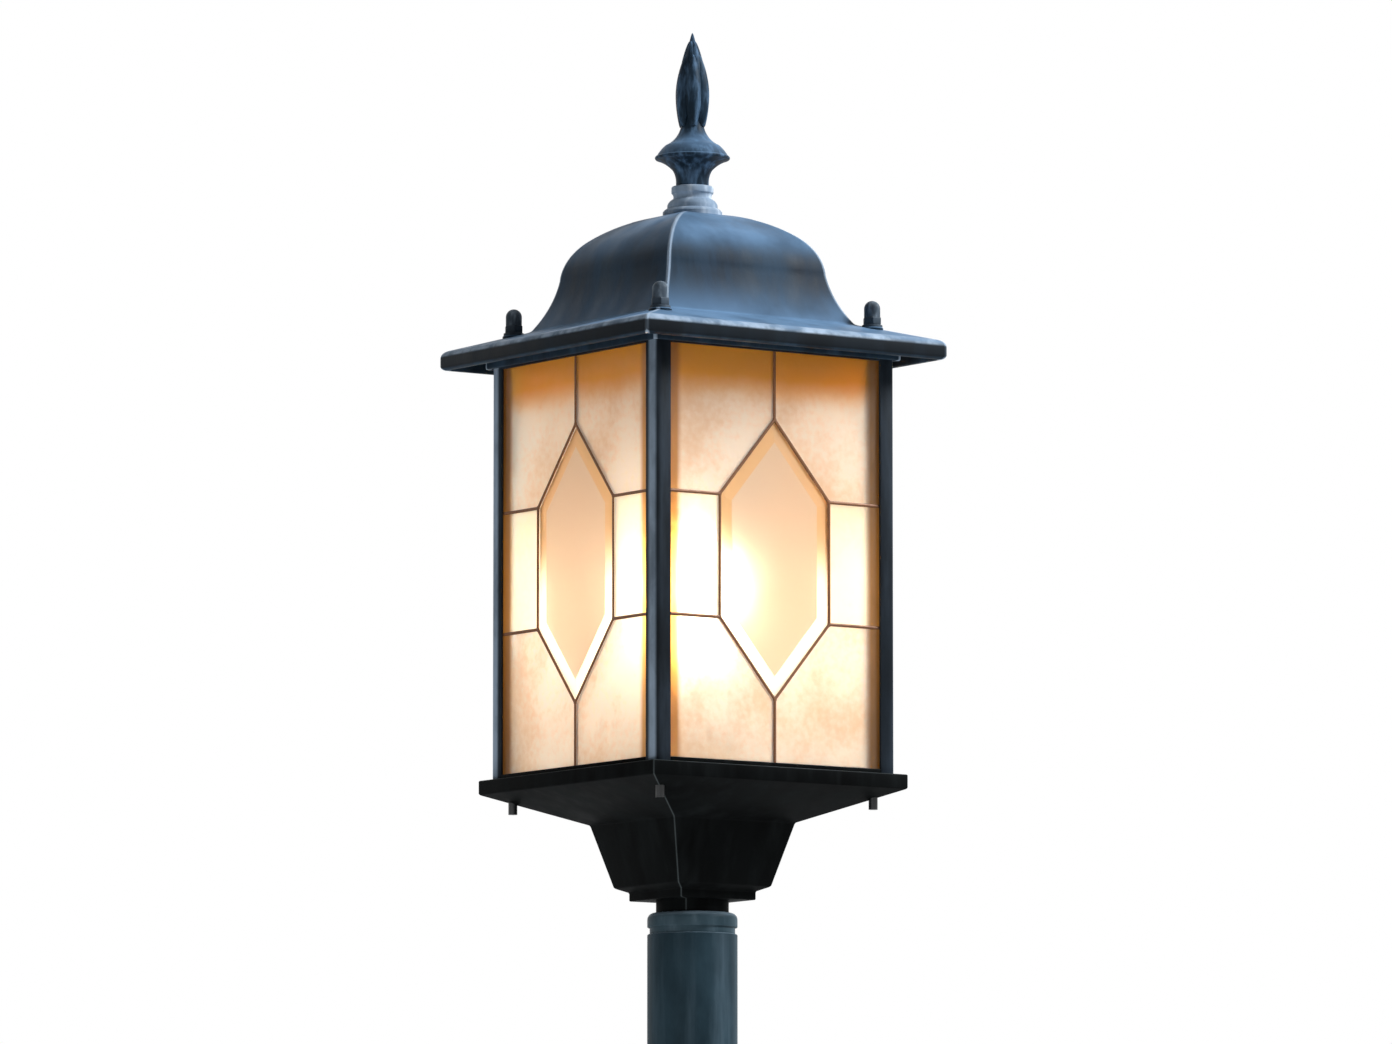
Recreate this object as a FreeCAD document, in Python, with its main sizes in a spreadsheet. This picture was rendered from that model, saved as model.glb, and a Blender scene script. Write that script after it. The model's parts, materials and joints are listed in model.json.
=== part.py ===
import FreeCAD, Part
import math
import os
import re

import Sketcher

# Post top lantern with a square cage of leaded glass, a domed roof and a leafed spire.
# The origin is the centre of the post sleeve's lower end, +Z is up, and the faces look along X and Y.
# Front is -Y and left is -X.

SIZES = {
    # post sleeve and collar
    "post_radius": 30.0,
    "post_wall": 3.0,
    "post_length": 133.6,
    "groove_height": 4.4,
    "groove_depth": 1.6,
    "rim_height": 9.7,
    "rim_round": 4.5,
    "seat_length": 33.6,
    "seat_depth": 0.4,
    "plug_gap": 0.5,
    "plug_fit": 0.2,
    "lip_height": 3.5,
    "lip_width": 7.2,
    "grub_radius": 3.0,
    "grub_drop": 16.0,
    "grub_angle": 10.0,
    "thread_fit": 0.05,
    # cast base
    "plug_wall": 2.9,
    "neck_fit": 0.1,
    "neck_wall": 5.2,
    "neck_show": 8.3,
    "foot_half": 30.4,
    "foot_height": 5.6,
    "step_half": 37.7,
    "step_height": 3.2,
    "pyramid_half": 49.2,
    "pyramid_height": 42.1,
    "slope_height": 21.7,
    "tray_reach": 5.9,
    "tray_rim": 9.5,
    "floor_ledge": 11.5,
    "cast_wall": 3.0,
    "sill_height": 3.1,
    # cage
    "body_half": 96.8,
    "cage_height": 277.9,
    "leg_width": 12.0,
    "leg_thickness": 2.2,
    "leg_round": 4.0,
    "slot_fit": 0.2,
    "glass_thickness": 3.0,
    "glass_bite": 4.0,
    "glass_top_gap": 0.5,
    "bead_width": 9.7,
    "strip_thickness": 3.2,
    "strip_height": 4.0,
    # leaded pattern
    "pattern_level": 137.7,
    "hexagon_half": 44.2,
    "hexagon_side": 40.6,
    "hexagon_reach": 92.7,
    "lead_width": 2.5,
    "lead_proud": 0.8,
    "lead_web": 1.0,
    "bevel_width": 10.0,
    "bevel_depth": 1.4,
    # tie rods and their nuts
    "rod_inset": 10.8,
    "rod_radius": 3.0,
    "rod_tail": 23.1,
    "rod_fit": 0.3,
    "rod_grip": 10.5,
    "nut_across": 5.77,
    "frame_nut_height": 5.0,
    # top frame
    "frame_thickness": 3.0,
    "frame_lip": 2.2,
    # roof
    "eave_drop": 1.5,
    "eave_reach": 25.0,
    "eave_height": 12.2,
    "eave_roll": 3.0,
    "eave_round": 3.8,
    "eave_wall": 4.5,
    "flange_rise": 12.5,
    "dome_inset": 7.8,
    "waist_inset": 14.0,
    "waist_rise": 33.8,
    "flare_radius": 84.0,
    "shoulder_inset": 14.2,
    "shoulder_rise": 27.0,
    "shoulder_radius": 38.0,
    "crown_half": 20.0,
    "crown_radius": 75.0,
    "crown_rise": 14.6,
    "shell_wall": 3.0,
    "skirt_fit": 0.8,
    "skirt_wall": 2.2,
    "boss_radius": 7.6,
    "roof_hole_fit": 0.5,
    # cap nuts
    "washer_radius": 6.9,
    "washer_height": 1.8,
    "cap_hex_across": 6.5,
    "cap_hex_height": 5.0,
    "cap_dome_radius": 4.8,
    "cap_dome_rise": 6.5,
    # finial
    "collar_radius": 19.9,
    "collar_height": 5.2,
    "tier_radius": 16.9,
    "tier_height": 6.6,
    "tier_waist": 13.0,
    "waist_height": 3.6,
    "ring_radius": 14.1,
    "ring_height": 5.0,
    "spire_neck": 11.0,
    "spire_neck_rise": 3.0,
    "cup_radius": 13.2,
    "cup_rise": 8.0,
    "brim_radius": 25.2,
    "brim_rise": 8.3,
    "brim_edge": 1.2,
    "bell_radius": 18.2,
    "bell_rise": 8.4,
    "bud_neck": 7.8,
    "bud_neck_rise": 12.6,
    "bud_height": 64.0,
    "bud_core": 6.4,
    "leaf_radial": 4.9,
    "leaf_width": 4.9,
    "leaf_offset": 6.6,
    "leaf_length": 44.0,
    "inner_leaf_rise": 13.0,
    "stud_radius": 4.0,
    "stud_fit": 0.3,
    "stud_tail": 10.0,
    "finial_nut_across": 7.5,
    "finial_nut_height": 6.5,
    "finial_washer_radius": 10.0,
    "finial_washer_height": 1.6,
    # floor plate and lamp holder
    "plate_fit": 0.4,
    "plate_thickness": 1.5,
    "plate_hole": 9.0,
    "screw_radius": 2.0,
    "screw_head": 3.6,
    "screw_head_height": 2.4,
    "screw_length": 8.0,
    "screw_inset": 3.4,
    "bracket_half": 22.0,
    "bracket_foot": 12.0,
    "bracket_width": 20.0,
    "bracket_rise": 27.0,
    "bracket_metal": 1.5,
    "holder_radius": 19.0,
    "holder_base": 19.0,
    "holder_depth": 29.0,
    "holder_bore": 15.2,
    "shell_radius": 14.4,
    "shell_metal": 0.5,
    "contact_radius": 5.0,
    "contact_height": 2.0,
    # lamp
    "cap_radius": 13.1,
    "cap_fit": 0.6,
    "cap_length": 22.0,
    "cap_metal": 0.5,
    "insulator_height": 3.0,
    "tip_radius": 4.6,
    "tip_height": 1.0,
    "tip_gap": 0.3,
    "glass_wall": 1.0,
    "lamp_neck": 12.4,
    "lamp_tuck": 10.0,
    "globe_radius": 30.0,
    "globe_level": 51.0,
    "stem_radius": 4.0,
    "stem_height": 38.0,
    "filament_half": 8.0,
    "filament_rise": 9.0,
    "filament_wire": 0.45,
    "support_wire": 0.7,
    # wiring
    "grommet_flange": 12.0,
    "grommet_seat": 9.0,
    "grommet_bore": 5.5,
    "grommet_lip": 2.0,
    "block_length": 30.0,
    "block_depth": 16.0,
    "block_height": 14.0,
    "block_offset": 20.0,
    "terminal_pitch": 6.5,
    "terminal_radius": 2.0,
    "terminal_length": 5.0,
    "lead_radius": 0.8,
    "earth_inset": 12.0,
    "earth_gap": 1.5,
}

SIDES = {"front": 0, "right": 90, "back": 180, "left": 270}
CORNERS = {"front_left": 180, "front_right": 270, "back_right": 0, "back_left": 90}
CORNER_SIGNS = {
    "front_left": (-1, -1),
    "front_right": (1, -1),
    "back_right": (1, 1),
    "back_left": (-1, 1),
}

# Levels above the lower end of the sleeve, each worked out from the one below it.
SEAT_END = "post_length - seat_length"
PLUG_END = f"{SEAT_END} + plug_gap"
NECK_END = f"{PLUG_END} + lip_height"
RIM_BOTTOM = "post_length + groove_height"
RIM_TOP = f"{RIM_BOTTOM} + rim_height"
FOOT = f"{RIM_TOP} + neck_show"
FOOT_TOP = f"{FOOT} + foot_height"
STEP_TOP = f"{FOOT_TOP} + step_height"
PYRAMID_TOP = f"{STEP_TOP} + pyramid_height"
SLOPE_TOP = f"{PYRAMID_TOP} + slope_height"
TRAY = f"{SLOPE_TOP} + tray_rim"
SILL = f"{TRAY} + sill_height"
PATTERN = f"{TRAY} + pattern_level"
POST_TOP = f"{TRAY} + cage_height"
FRAME_TOP = f"{POST_TOP} + frame_thickness"
NUT_TOP = f"{FRAME_TOP} + frame_nut_height"
EAVE = f"{POST_TOP} - eave_drop"
EAVE_TOP = f"{EAVE} + eave_height"
FLANGE_TOP = f"{EAVE_TOP} + flange_rise"
WAIST = f"{FLANGE_TOP} + waist_rise"
SHOULDER = f"{WAIST} + shoulder_rise"
CROWN = f"{SHOULDER} + crown_rise"
COLLAR_TOP = f"{CROWN} + collar_height + tier_height + waist_height + ring_height"
DOME_INSIDE = f"{CROWN} - shell_wall"
PLATE_TOP = f"{TRAY} + plate_thickness"
HOLDER = f"{PLATE_TOP} + bracket_rise + bracket_metal"
HOLDER_FLOOR = f"{HOLDER} + holder_base"
TIP = f"{HOLDER_FLOOR} + contact_height + tip_gap"
INSULATOR = f"{TIP} + tip_height"
CAP = f"{INSULATOR} + insulator_height"
CAP_TOP = f"{CAP} + cap_length"
GLOBE = f"{CAP_TOP} + globe_level"

# Half widths of the cage's layers, from the outer face inwards.
SLOT_OUT = "body_half - leg_thickness"
GLASS_OUT = f"{SLOT_OUT} - slot_fit"
GLASS_IN = f"{GLASS_OUT} - glass_thickness"
SLOT_IN = f"{GLASS_IN} - slot_fit"
BEAD_IN = f"{SLOT_IN} - bead_width"
STRIP_IN = f"{SLOT_IN} - strip_thickness"
STRIP_REACH = f"{BEAD_IN} - slot_fit"
LEG_END = "body_half - leg_width"
LEG_REACH = f"{LEG_END} - slot_fit"
PANE_HALF = f"{LEG_END} + glass_bite"
OPENING_HALF = f"({BEAD_IN} - floor_ledge)"
PLATE_HALF = f"({BEAD_IN} - plate_fit)"

# Half widths of what stands on the cage or reaches past it.
ROD_HALF = "(body_half - rod_inset)"
TRAY_HALF = "(body_half + tray_reach)"
EAVE_HALF = "(body_half + eave_reach)"
DOME_FOOT_HALF = f"({ROD_HALF} - dome_inset)"
WAIST_HALF = f"({DOME_FOOT_HALF} - waist_inset)"
SHOULDER_HALF = f"({WAIST_HALF} - shoulder_inset)"

# The roof's flat flange rises from the eave to the dome, and its pads and washers stand on it.
FLANGE_SLOPE = f"(flange_rise / ({EAVE_HALF} - {DOME_FOOT_HALF}))"
PAD = f"{EAVE_TOP} + ({EAVE_HALF} - {ROD_HALF}) * {FLANGE_SLOPE}"
WASHER_TOP = f"{PAD} + washer_height"

# The neck turns inside the plug, which fits the seat turned out of the sleeve's upper end.
BORE_RADIUS = "(post_radius - post_wall)"
SEAT_RADIUS = f"({BORE_RADIUS} + seat_depth)"
PLUG_RADIUS = f"({SEAT_RADIUS} - plug_fit)"
NECK_BORE = f"({PLUG_RADIUS} - plug_wall)"
NECK_RADIUS = f"({NECK_BORE} - neck_fit)"
LIP_RADIUS = f"({NECK_RADIUS} - lip_width)"

doc = FreeCAD.newDocument("PostTopLantern")
sheet = doc.addObject("Spreadsheet::Sheet", "Sizes")
for row, (alias, number) in enumerate(SIZES.items(), start=1):
    sheet.set(f"A{row}", alias)
    sheet.set(f"B{row}", str(number))
    sheet.setAlias(f"B{row}", alias)
doc.recompute()

WORD = re.compile(r"[a-z]+(?:_[a-z]+)*")
nodes = []


def link(text):
    """The same formula with each size's name pointing at its cell."""
    return WORD.sub(lambda found: f"Sizes.{found[0]}" if found[0] in SIZES else found[0], str(text))


def size(text):
    """The formula's present value."""
    return float(sheet.evalExpression(link(text)))


def bind(thing, **formulas):
    """Ties properties to the sheet; a double underscore stands for a dot."""
    for name, formula in formulas.items():
        thing.setExpression(name.replace("__", "."), link(formula))


def minus(text):
    return f"-({text})"


def signed(sign, text):
    return text if sign > 0 else minus(text)


def node(thing, name, angle=0):
    """Names a finished sub-part and turns it about the vertical axis."""
    thing.Label = name
    thing.Placement = FreeCAD.Placement(FreeCAD.Vector(), FreeCAD.Rotation(FreeCAD.Vector(0, 0, 1), angle))
    nodes.append(thing)
    return thing


# Sketches

def arc_between(start, end, radius, turn):
    """The short arc from start to end; its centre is on the left for turn 1 and on the right for -1."""
    chord = end - start
    middle = (start + end) * 0.5
    left = FreeCAD.Vector(-chord.y, chord.x, 0).normalize()
    rise = max(radius ** 2 - (chord.Length / 2) ** 2, 0) ** 0.5
    centre = middle + left * (turn * rise)
    top = centre - left * (turn * radius)
    return Part.Arc(start, top, end)


def fix(sketch, edge, place, x, y):
    """Dimensions one point of a sketch from its origin."""
    for kind, formula, axis in (("DistanceX", x, -2), ("DistanceY", y, -1)):
        if formula == "0":
            sketch.addConstraint(Sketcher.Constraint("PointOnObject", edge, place, axis))
            continue
        constraint = Sketcher.Constraint(kind, -1, 1, edge, place, size(formula))
        index = sketch.addConstraint(constraint)
        sketch.setExpression(f"Constraints[{index}]", link(formula))


def draw(sketch, corners):
    """A closed outline. A corner is (x, y), or (x, y, radius, turn) where an arc leads to it."""
    places = [FreeCAD.Vector(size(corner[0]), size(corner[1]), 0) for corner in corners]
    first = sketch.GeometryCount
    ends = []
    for index, corner in enumerate(corners):
        start = places[index - 1]
        end = places[index]
        if len(corner) == 2:
            sketch.addGeometry(Part.LineSegment(start, end))
            ends.append((1, 2))
        else:
            sketch.addGeometry(arc_between(start, end, size(corner[2]), corner[3]))
            ends.append((1, 2) if corner[3] > 0 else (2, 1))
    for index, corner in enumerate(corners):
        following = (index + 1) % len(corners)
        edge = first + index
        join = Sketcher.Constraint("Coincident", edge, ends[index][1], first + following, ends[following][0])
        sketch.addConstraint(join)
        fix(sketch, edge, ends[index][1], corner[0], corner[1])
        if len(corner) > 2:
            constraint = sketch.addConstraint(Sketcher.Constraint("Radius", edge, size(corner[2])))
            sketch.setExpression(f"Constraints[{constraint}]", link(corner[2]))


def draw_circle(sketch, x, y, radius):
    centre = FreeCAD.Vector(size(x), size(y), 0)
    edge = sketch.addGeometry(Part.Circle(centre, FreeCAD.Vector(0, 0, 1), size(radius)))
    fix(sketch, edge, 3, x, y)
    index = sketch.addConstraint(Sketcher.Constraint("Radius", edge, size(radius)))
    sketch.setExpression(f"Constraints[{index}]", link(radius))


def add_body(name):
    return doc.addObject("PartDesign::Body", name)


def add_sketch(body, role, outlines, circles=(), offset="0"):
    """A sketch on one of the body's origin planes, moved along that plane's normal by offset."""
    plane = [feature for feature in body.Origin.OriginFeatures if feature.Role == role][0]
    sketch = body.newObject("Sketcher::SketchObject", f"{body.Name}_outline")
    sketch.AttachmentSupport = [(plane, "")]
    sketch.MapMode = "FlatFace"
    sketch.setExpression("AttachmentOffset.Base.z", link(offset))
    for corners in outlines:
        draw(sketch, corners)
    for circle in circles:
        draw_circle(sketch, *circle)
    return sketch


def pad(body, sketch, height, symmetric=False):
    feature = body.newObject("PartDesign::Pad", f"{body.Name}_pad")
    feature.Profile = sketch
    if symmetric:
        feature.SideType = "Symmetric"
    bind(feature, Length=height)
    sketch.Visibility = False
    return feature


def turned(name, corners):
    """A sub-part that is one body of revolution."""
    return node(revolved(name, corners), name)


def revolved(name, corners):
    """A body of revolution; the corners are (radius, level)."""
    body = add_body(name)
    sketch = add_sketch(body, "XZ_Plane", [corners])
    feature = body.newObject("PartDesign::Revolution", f"{name}_turn")
    feature.Profile = sketch
    feature.ReferenceAxis = (sketch, ["V_Axis"])
    feature.Angle = 360
    return body


def plate(name, outlines, bottom, height, circles=(), angle=0):
    """A flat-sided body that stands on the level bottom."""
    body = add_body(name)
    sketch = add_sketch(body, "XY_Plane", outlines, circles, bottom)
    pad(body, sketch, height)
    return node(body, name, angle)


def rectangle(x_low, x_high, y_low, y_high):
    return [(x_low, y_low), (x_high, y_low), (x_high, y_high), (x_low, y_high)]


def square(half):
    return rectangle(minus(half), half, minus(half), half)


# Solids put together from simple ones

def place_at(thing, x, y, z):
    bind(thing, Placement__Base__x=x, Placement__Base__y=y, Placement__Base__z=z)
    return thing


def cylinder(radius, height, x, y, z):
    thing = doc.addObject("Part::Cylinder", "Round")
    bind(thing, Radius=radius, Height=height)
    return place_at(thing, x, y, z)


def hexagon(across, height, x, y, z):
    thing = doc.addObject("Part::Prism", "Hexagon")
    thing.Polygon = 6
    bind(thing, Circumradius=across, Height=height)
    return place_at(thing, x, y, z)


def block(x_low, x_high, y_low, y_high, z_low, z_high):
    thing = doc.addObject("Part::Box", "Block")
    bind(thing, Length=f"{x_high} - ({x_low})", Width=f"{y_high} - ({y_low})")
    bind(thing, Height=f"{z_high} - ({z_low})")
    return place_at(thing, x_low, y_low, z_low)


def fuse(parts, name="Joined"):
    thing = doc.addObject("Part::MultiFuse", name)
    thing.Shapes = parts
    thing.Refine = True
    return thing


def common(parts, name="Shared"):
    thing = doc.addObject("Part::MultiCommon", name)
    thing.Shapes = parts
    return thing


def cut(base, tools, name="Trimmed"):
    thing = doc.addObject("Part::Cut", name)
    thing.Base = base
    thing.Tool = tools[0] if len(tools) == 1 else fuse(tools, f"{name}_tools")
    thing.Refine = True
    return thing


def group(parts, name):
    """Separate like solids that share one node."""
    thing = doc.addObject("Part::Compound", name)
    thing.Links = parts
    return node(thing, name)


def square_plan(right, widest, name):
    """A solid of square plan whose four sides have the profile right, drawn from its foot up."""
    left = []
    for index in range(len(right) - 1, -1, -1):
        arc = right[index + 1][2:] if index + 1 < len(right) else ()
        left.append((minus(right[index][0]), right[index][1]) + tuple(arc))
    outline = [tuple(right[0][:2])] + list(right[1:]) + left
    walls = []
    for turn in (0, 90):
        sketch = doc.addObject("Sketcher::SketchObject", f"{name}_profile")
        upright = FreeCAD.Rotation(FreeCAD.Vector(1, 0, 0), 90)
        sketch.Placement = FreeCAD.Placement(
            FreeCAD.Vector(), FreeCAD.Rotation(FreeCAD.Vector(0, 0, 1), turn) * upright
        )
        draw(sketch, outline)
        wall = doc.addObject("Part::Extrusion", f"{name}_wall")
        wall.Base = sketch
        wall.DirMode = "Normal"
        wall.Symmetric = True
        wall.Solid = True
        bind(wall, LengthFwd=f"4 * {widest}")
        walls.append(wall)
    return common(walls, name)


def corner_places(half):
    return [(signed(x, half), signed(y, half)) for x, y in CORNER_SIGNS.values()]


# Post

def make_post():
    sleeve = [
        (BORE_RADIUS, "0"),
        ("post_radius", "0"),
        ("post_radius", "post_length"),
        (SEAT_RADIUS, "post_length"),
        (SEAT_RADIUS, SEAT_END),
        (BORE_RADIUS, SEAT_END),
    ]
    tube = revolved("post_sleeve_tube", sleeve)
    node(cut(tube, grub_holes("grub_radius + thread_fit"), "post_sleeve"), "post_sleeve")
    groove = "post_radius - groove_depth"
    collar = [
        (LIP_RADIUS, PLUG_END),
        (PLUG_RADIUS, PLUG_END),
        (PLUG_RADIUS, "post_length"),
        (groove, "post_length"),
        (groove, RIM_BOTTOM),
        ("post_radius", RIM_BOTTOM),
        ("post_radius", f"{RIM_TOP} - rim_round"),
        ("post_radius - rim_round", RIM_TOP, "rim_round", 1),
        (NECK_BORE, RIM_TOP),
        (NECK_BORE, NECK_END),
        (LIP_RADIUS, NECK_END),
    ]
    ring = revolved("post_collar_ring", collar)
    node(cut(ring, grub_holes("grub_radius + thread_fit"), "post_collar"), "post_collar")
    start = f"{NECK_BORE} + thread_fit"
    screws = grub_holes("grub_radius", start, f"post_radius - ({start})")
    group(screws, "grub_screws")


def grub_holes(radius, start=LIP_RADIUS, length="post_radius"):
    """Two level rounds through the collar wall, a quarter turn apart."""
    rounds = []
    for quarter in (0, 90):
        thing = doc.addObject("Part::Cylinder", "GrubRound")
        bind(thing, Radius=radius, Height=length)
        angle = f"(grub_angle + {quarter})"
        place_at(thing, f"({start}) * cos({angle})", f"({start}) * sin({angle})", "post_length - grub_drop")
        turn = FreeCAD.Rotation(FreeCAD.Vector(0, 0, 1), size(angle))
        lay = FreeCAD.Rotation(FreeCAD.Vector(0, 1, 0), 90)
        thing.Placement = FreeCAD.Placement(thing.Placement.Base, turn * lay)
        place_at(thing, f"({start}) * cos({angle})", f"({start}) * sin({angle})", "post_length - grub_drop")
        rounds.append(thing)
    return rounds


# Cast base

def make_base():
    outer = square_plan(
        [
            ("foot_half", FOOT),
            ("foot_half", FOOT_TOP),
            ("step_half", STEP_TOP),
            ("pyramid_half", PYRAMID_TOP),
            (TRAY_HALF, SLOPE_TOP),
            (TRAY_HALF, TRAY),
        ],
        TRAY_HALF,
        "bowl_outside",
    )
    rise = f"({OPENING_HALF} - pyramid_half) * slope_height / ({TRAY_HALF} - pyramid_half)"
    hollow = square_plan(
        [
            ("foot_half - cast_wall", f"{FOOT} + cast_wall"),
            ("foot_half - cast_wall", FOOT_TOP),
            ("step_half - cast_wall", f"{STEP_TOP} + cast_wall / 2"),
            ("pyramid_half - cast_wall", f"{PYRAMID_TOP} + cast_wall"),
            (OPENING_HALF, f"{PYRAMID_TOP} + cast_wall + {rise}"),
            (OPENING_HALF, f"{TRAY} + cast_wall"),
        ],
        TRAY_HALF,
        "bowl_hollow",
    )
    neck = cylinder(NECK_RADIUS, f"{FOOT} + cast_wall / 2 - ({NECK_END})", "0", "0", NECK_END)
    neck_bore = cylinder(f"{NECK_RADIUS} - neck_wall", f"{FOOT} - ({NECK_END})", "0", "0", NECK_END)
    seat = cylinder("grommet_seat", "4 * cast_wall", "0", "0", f"{FOOT} - cast_wall")
    sills = []
    for side in SIDES:
        sills.append(side_bar(side, SLOT_OUT, "body_half", LEG_REACH, TRAY, SILL))
    holes = [cylinder("rod_radius + thread_fit", "slope_height + tray_rim", x, y, f"{PYRAMID_TOP}")
             for x, y in corner_places(ROD_HALF)]
    holes += [cylinder("screw_radius + thread_fit", "screw_length", x, y, f"{PLATE_TOP} - screw_length")
              for x, y in screw_places()]
    bowl = cut(fuse([outer, neck]), [hollow, neck_bore, seat] + holes)
    node(fuse([bowl] + sills, "base_bowl"), "base_bowl")
    grommet = [
        ("grommet_bore", f"{FOOT} - grommet_lip"),
        ("grommet_flange", f"{FOOT} - grommet_lip"),
        ("grommet_flange", FOOT),
        ("grommet_seat", FOOT),
        ("grommet_seat", f"{FOOT} + cast_wall"),
        ("grommet_flange", f"{FOOT} + cast_wall"),
        ("grommet_flange", f"{FOOT} + cast_wall + grommet_lip"),
        ("grommet_bore", f"{FOOT} + cast_wall + grommet_lip"),
    ]
    turned("neck_grommet", grommet)


def side_bar(side, inside, outside, reach, low, high):
    """A bar along one side of the cage between the half widths inside and outside."""
    spans = {
        "front": (minus(reach), reach, minus(outside), minus(inside)),
        "back": (minus(reach), reach, inside, outside),
        "left": (minus(outside), minus(inside), minus(reach), reach),
        "right": (inside, outside, minus(reach), reach),
    }
    return block(*spans[side], low, high)


def screw_places():
    reach = f"{PLATE_HALF} - screw_inset"
    return [(reach, "0"), (minus(reach), "0"), ("0", reach), ("0", minus(reach))]


# Cage

def make_cage():
    slot_end = f"{PANE_HALF} + slot_fit"
    section = [
        ("body_half", LEG_END),
        ("body_half", "body_half - leg_round"),
        ("body_half - leg_round", "body_half", "leg_round", 1),
        (LEG_END, "body_half"),
        (LEG_END, SLOT_OUT),
        (slot_end, SLOT_OUT),
        (slot_end, SLOT_IN),
        (BEAD_IN, SLOT_IN),
        (BEAD_IN, BEAD_IN),
        (SLOT_IN, BEAD_IN),
        (SLOT_IN, slot_end),
        (SLOT_OUT, slot_end),
        (SLOT_OUT, LEG_END),
    ]
    for corner, angle in CORNERS.items():
        hole = (ROD_HALF, ROD_HALF, "rod_radius + rod_fit")
        plate(f"corner_post_{corner}", [section], TRAY, "cage_height", [hole], angle)
    for side, angle in SIDES.items():
        make_pane(side, angle)
        make_bevel(side, angle)
        make_lead(side, angle)
    strips = [
        side_bar(side, STRIP_IN, SLOT_IN, STRIP_REACH, TRAY, f"{TRAY} + strip_height")
        for side in SIDES
    ]
    group(strips, "glazing_strips")


def hexagon_outline(out):
    """The pattern's hexagon, moved out by a distance on every side."""
    rise = "(hexagon_reach - hexagon_side)"
    slant = f"sqrt(hexagon_half * hexagon_half + {rise} * {rise})"
    x = f"hexagon_half + ({out})"
    side = f"hexagon_side + ({out}) * ({slant} - {rise}) / hexagon_half"
    reach = f"hexagon_reach + ({out}) * {slant} / hexagon_half"
    return [
        ("0", f"{PATTERN} - ({reach})"),
        (x, f"{PATTERN} - ({side})"),
        (x, f"{PATTERN} + {side}"),
        ("0", f"{PATTERN} + {reach}"),
        (minus(x), f"{PATTERN} + {side}"),
        (minus(x), f"{PATTERN} - ({side})"),
    ]


def make_pane(side, angle):
    body = add_body(f"glass_pane_{side}")
    edge = rectangle(minus(PANE_HALF), PANE_HALF, TRAY, f"{POST_TOP} - glass_top_gap")
    sketch = add_sketch(body, "XZ_Plane", [edge, hexagon_outline("lead_web / 2")], (), GLASS_IN)
    pad(body, sketch, "glass_thickness")
    node(body, f"glass_pane_{side}", angle)


def make_bevel(side, angle):
    body = add_body(f"bevel_glass_{side}")
    base = add_sketch(body, "XZ_Plane", [hexagon_outline("-lead_web / 2")], (), GLASS_IN)
    pad(body, base, "glass_thickness - bevel_depth")
    doc.recompute()
    edge = add_sketch(body, "XZ_Plane", [hexagon_outline("-lead_web / 2")], (), f"{GLASS_OUT} - bevel_depth")
    face = add_sketch(body, "XZ_Plane", [hexagon_outline("-lead_web / 2 - bevel_width")], (), GLASS_OUT)
    loft = body.newObject("PartDesign::AdditiveLoft", f"{body.Name}_bevel")
    loft.Profile = edge
    loft.Sections = [face]
    loft.Ruled = True
    node(body, f"bevel_glass_{side}", angle)


def make_lead(side, angle):
    body = add_body(f"lead_lines_{side}")
    web = [hexagon_outline("lead_web / 2"), hexagon_outline("-lead_web / 2")]
    ring = [hexagon_outline("lead_width / 2"), hexagon_outline("-lead_width / 2")]
    outer_ends = (LEG_REACH, SILL, f"{POST_TOP} - frame_lip")
    inner_ends = (STRIP_REACH, f"{TRAY} + strip_height", f"{POST_TOP} - frame_lip")
    pad(body, add_sketch(body, "XZ_Plane", web, (), GLASS_IN), "glass_thickness")
    for level, ends in ((GLASS_OUT, outer_ends), (f"{GLASS_IN} - lead_proud", inner_ends)):
        pad(body, add_sketch(body, "XZ_Plane", ring, (), level), "lead_proud")
        pad(body, add_sketch(body, "XZ_Plane", strip_outlines(*ends), (), level), "lead_proud")
    node(body, f"lead_lines_{side}", angle)


def strip_outlines(reach, low, high):
    """The straight lead lines that run from the hexagon to the edges of the pane."""
    half = "lead_width / 2"
    outlines = [
        rectangle(minus(half), half, low, f"{PATTERN} - hexagon_reach"),
        rectangle(minus(half), half, f"{PATTERN} + hexagon_reach", high),
    ]
    for level in (f"{PATTERN} + hexagon_side", f"{PATTERN} - hexagon_side"):
        for ends in (("hexagon_half", reach), (minus(reach), minus("hexagon_half"))):
            outlines.append(rectangle(*ends, f"{level} - {half}", f"{level} + {half}"))
    return outlines


def make_rods():
    bottom = f"{TRAY} - rod_tail"
    rods = [cylinder("rod_radius", f"{WASHER_TOP} + rod_grip - ({bottom})", x, y, bottom)
            for x, y in corner_places(ROD_HALF)]
    group(rods, "tie_rods")
    nuts = []
    for x, y in corner_places(ROD_HALF):
        blank = hexagon("nut_across", "frame_nut_height", x, y, FRAME_TOP)
        nuts.append(cut(blank, [cylinder("rod_radius + thread_fit", "frame_nut_height", x, y, FRAME_TOP)]))
    group(nuts, "frame_nuts")


def make_frame():
    holes = [(x, y, "rod_radius + rod_fit") for x, y in corner_places(ROD_HALF)]
    body = add_body("frame_ring")
    ring = [square("body_half"), square(BEAD_IN)]
    pad(body, add_sketch(body, "XY_Plane", ring, holes, POST_TOP), "frame_thickness")
    lips = []
    for side in SIDES:
        low = f"{POST_TOP} - frame_lip"
        lips.append(side_bar(side, SLOT_OUT, "body_half", LEG_REACH, low, POST_TOP))
        lips.append(side_bar(side, STRIP_IN, SLOT_IN, STRIP_REACH, low, POST_TOP))
    node(fuse([body] + lips, "top_frame"), "top_frame")


# Roof

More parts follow.
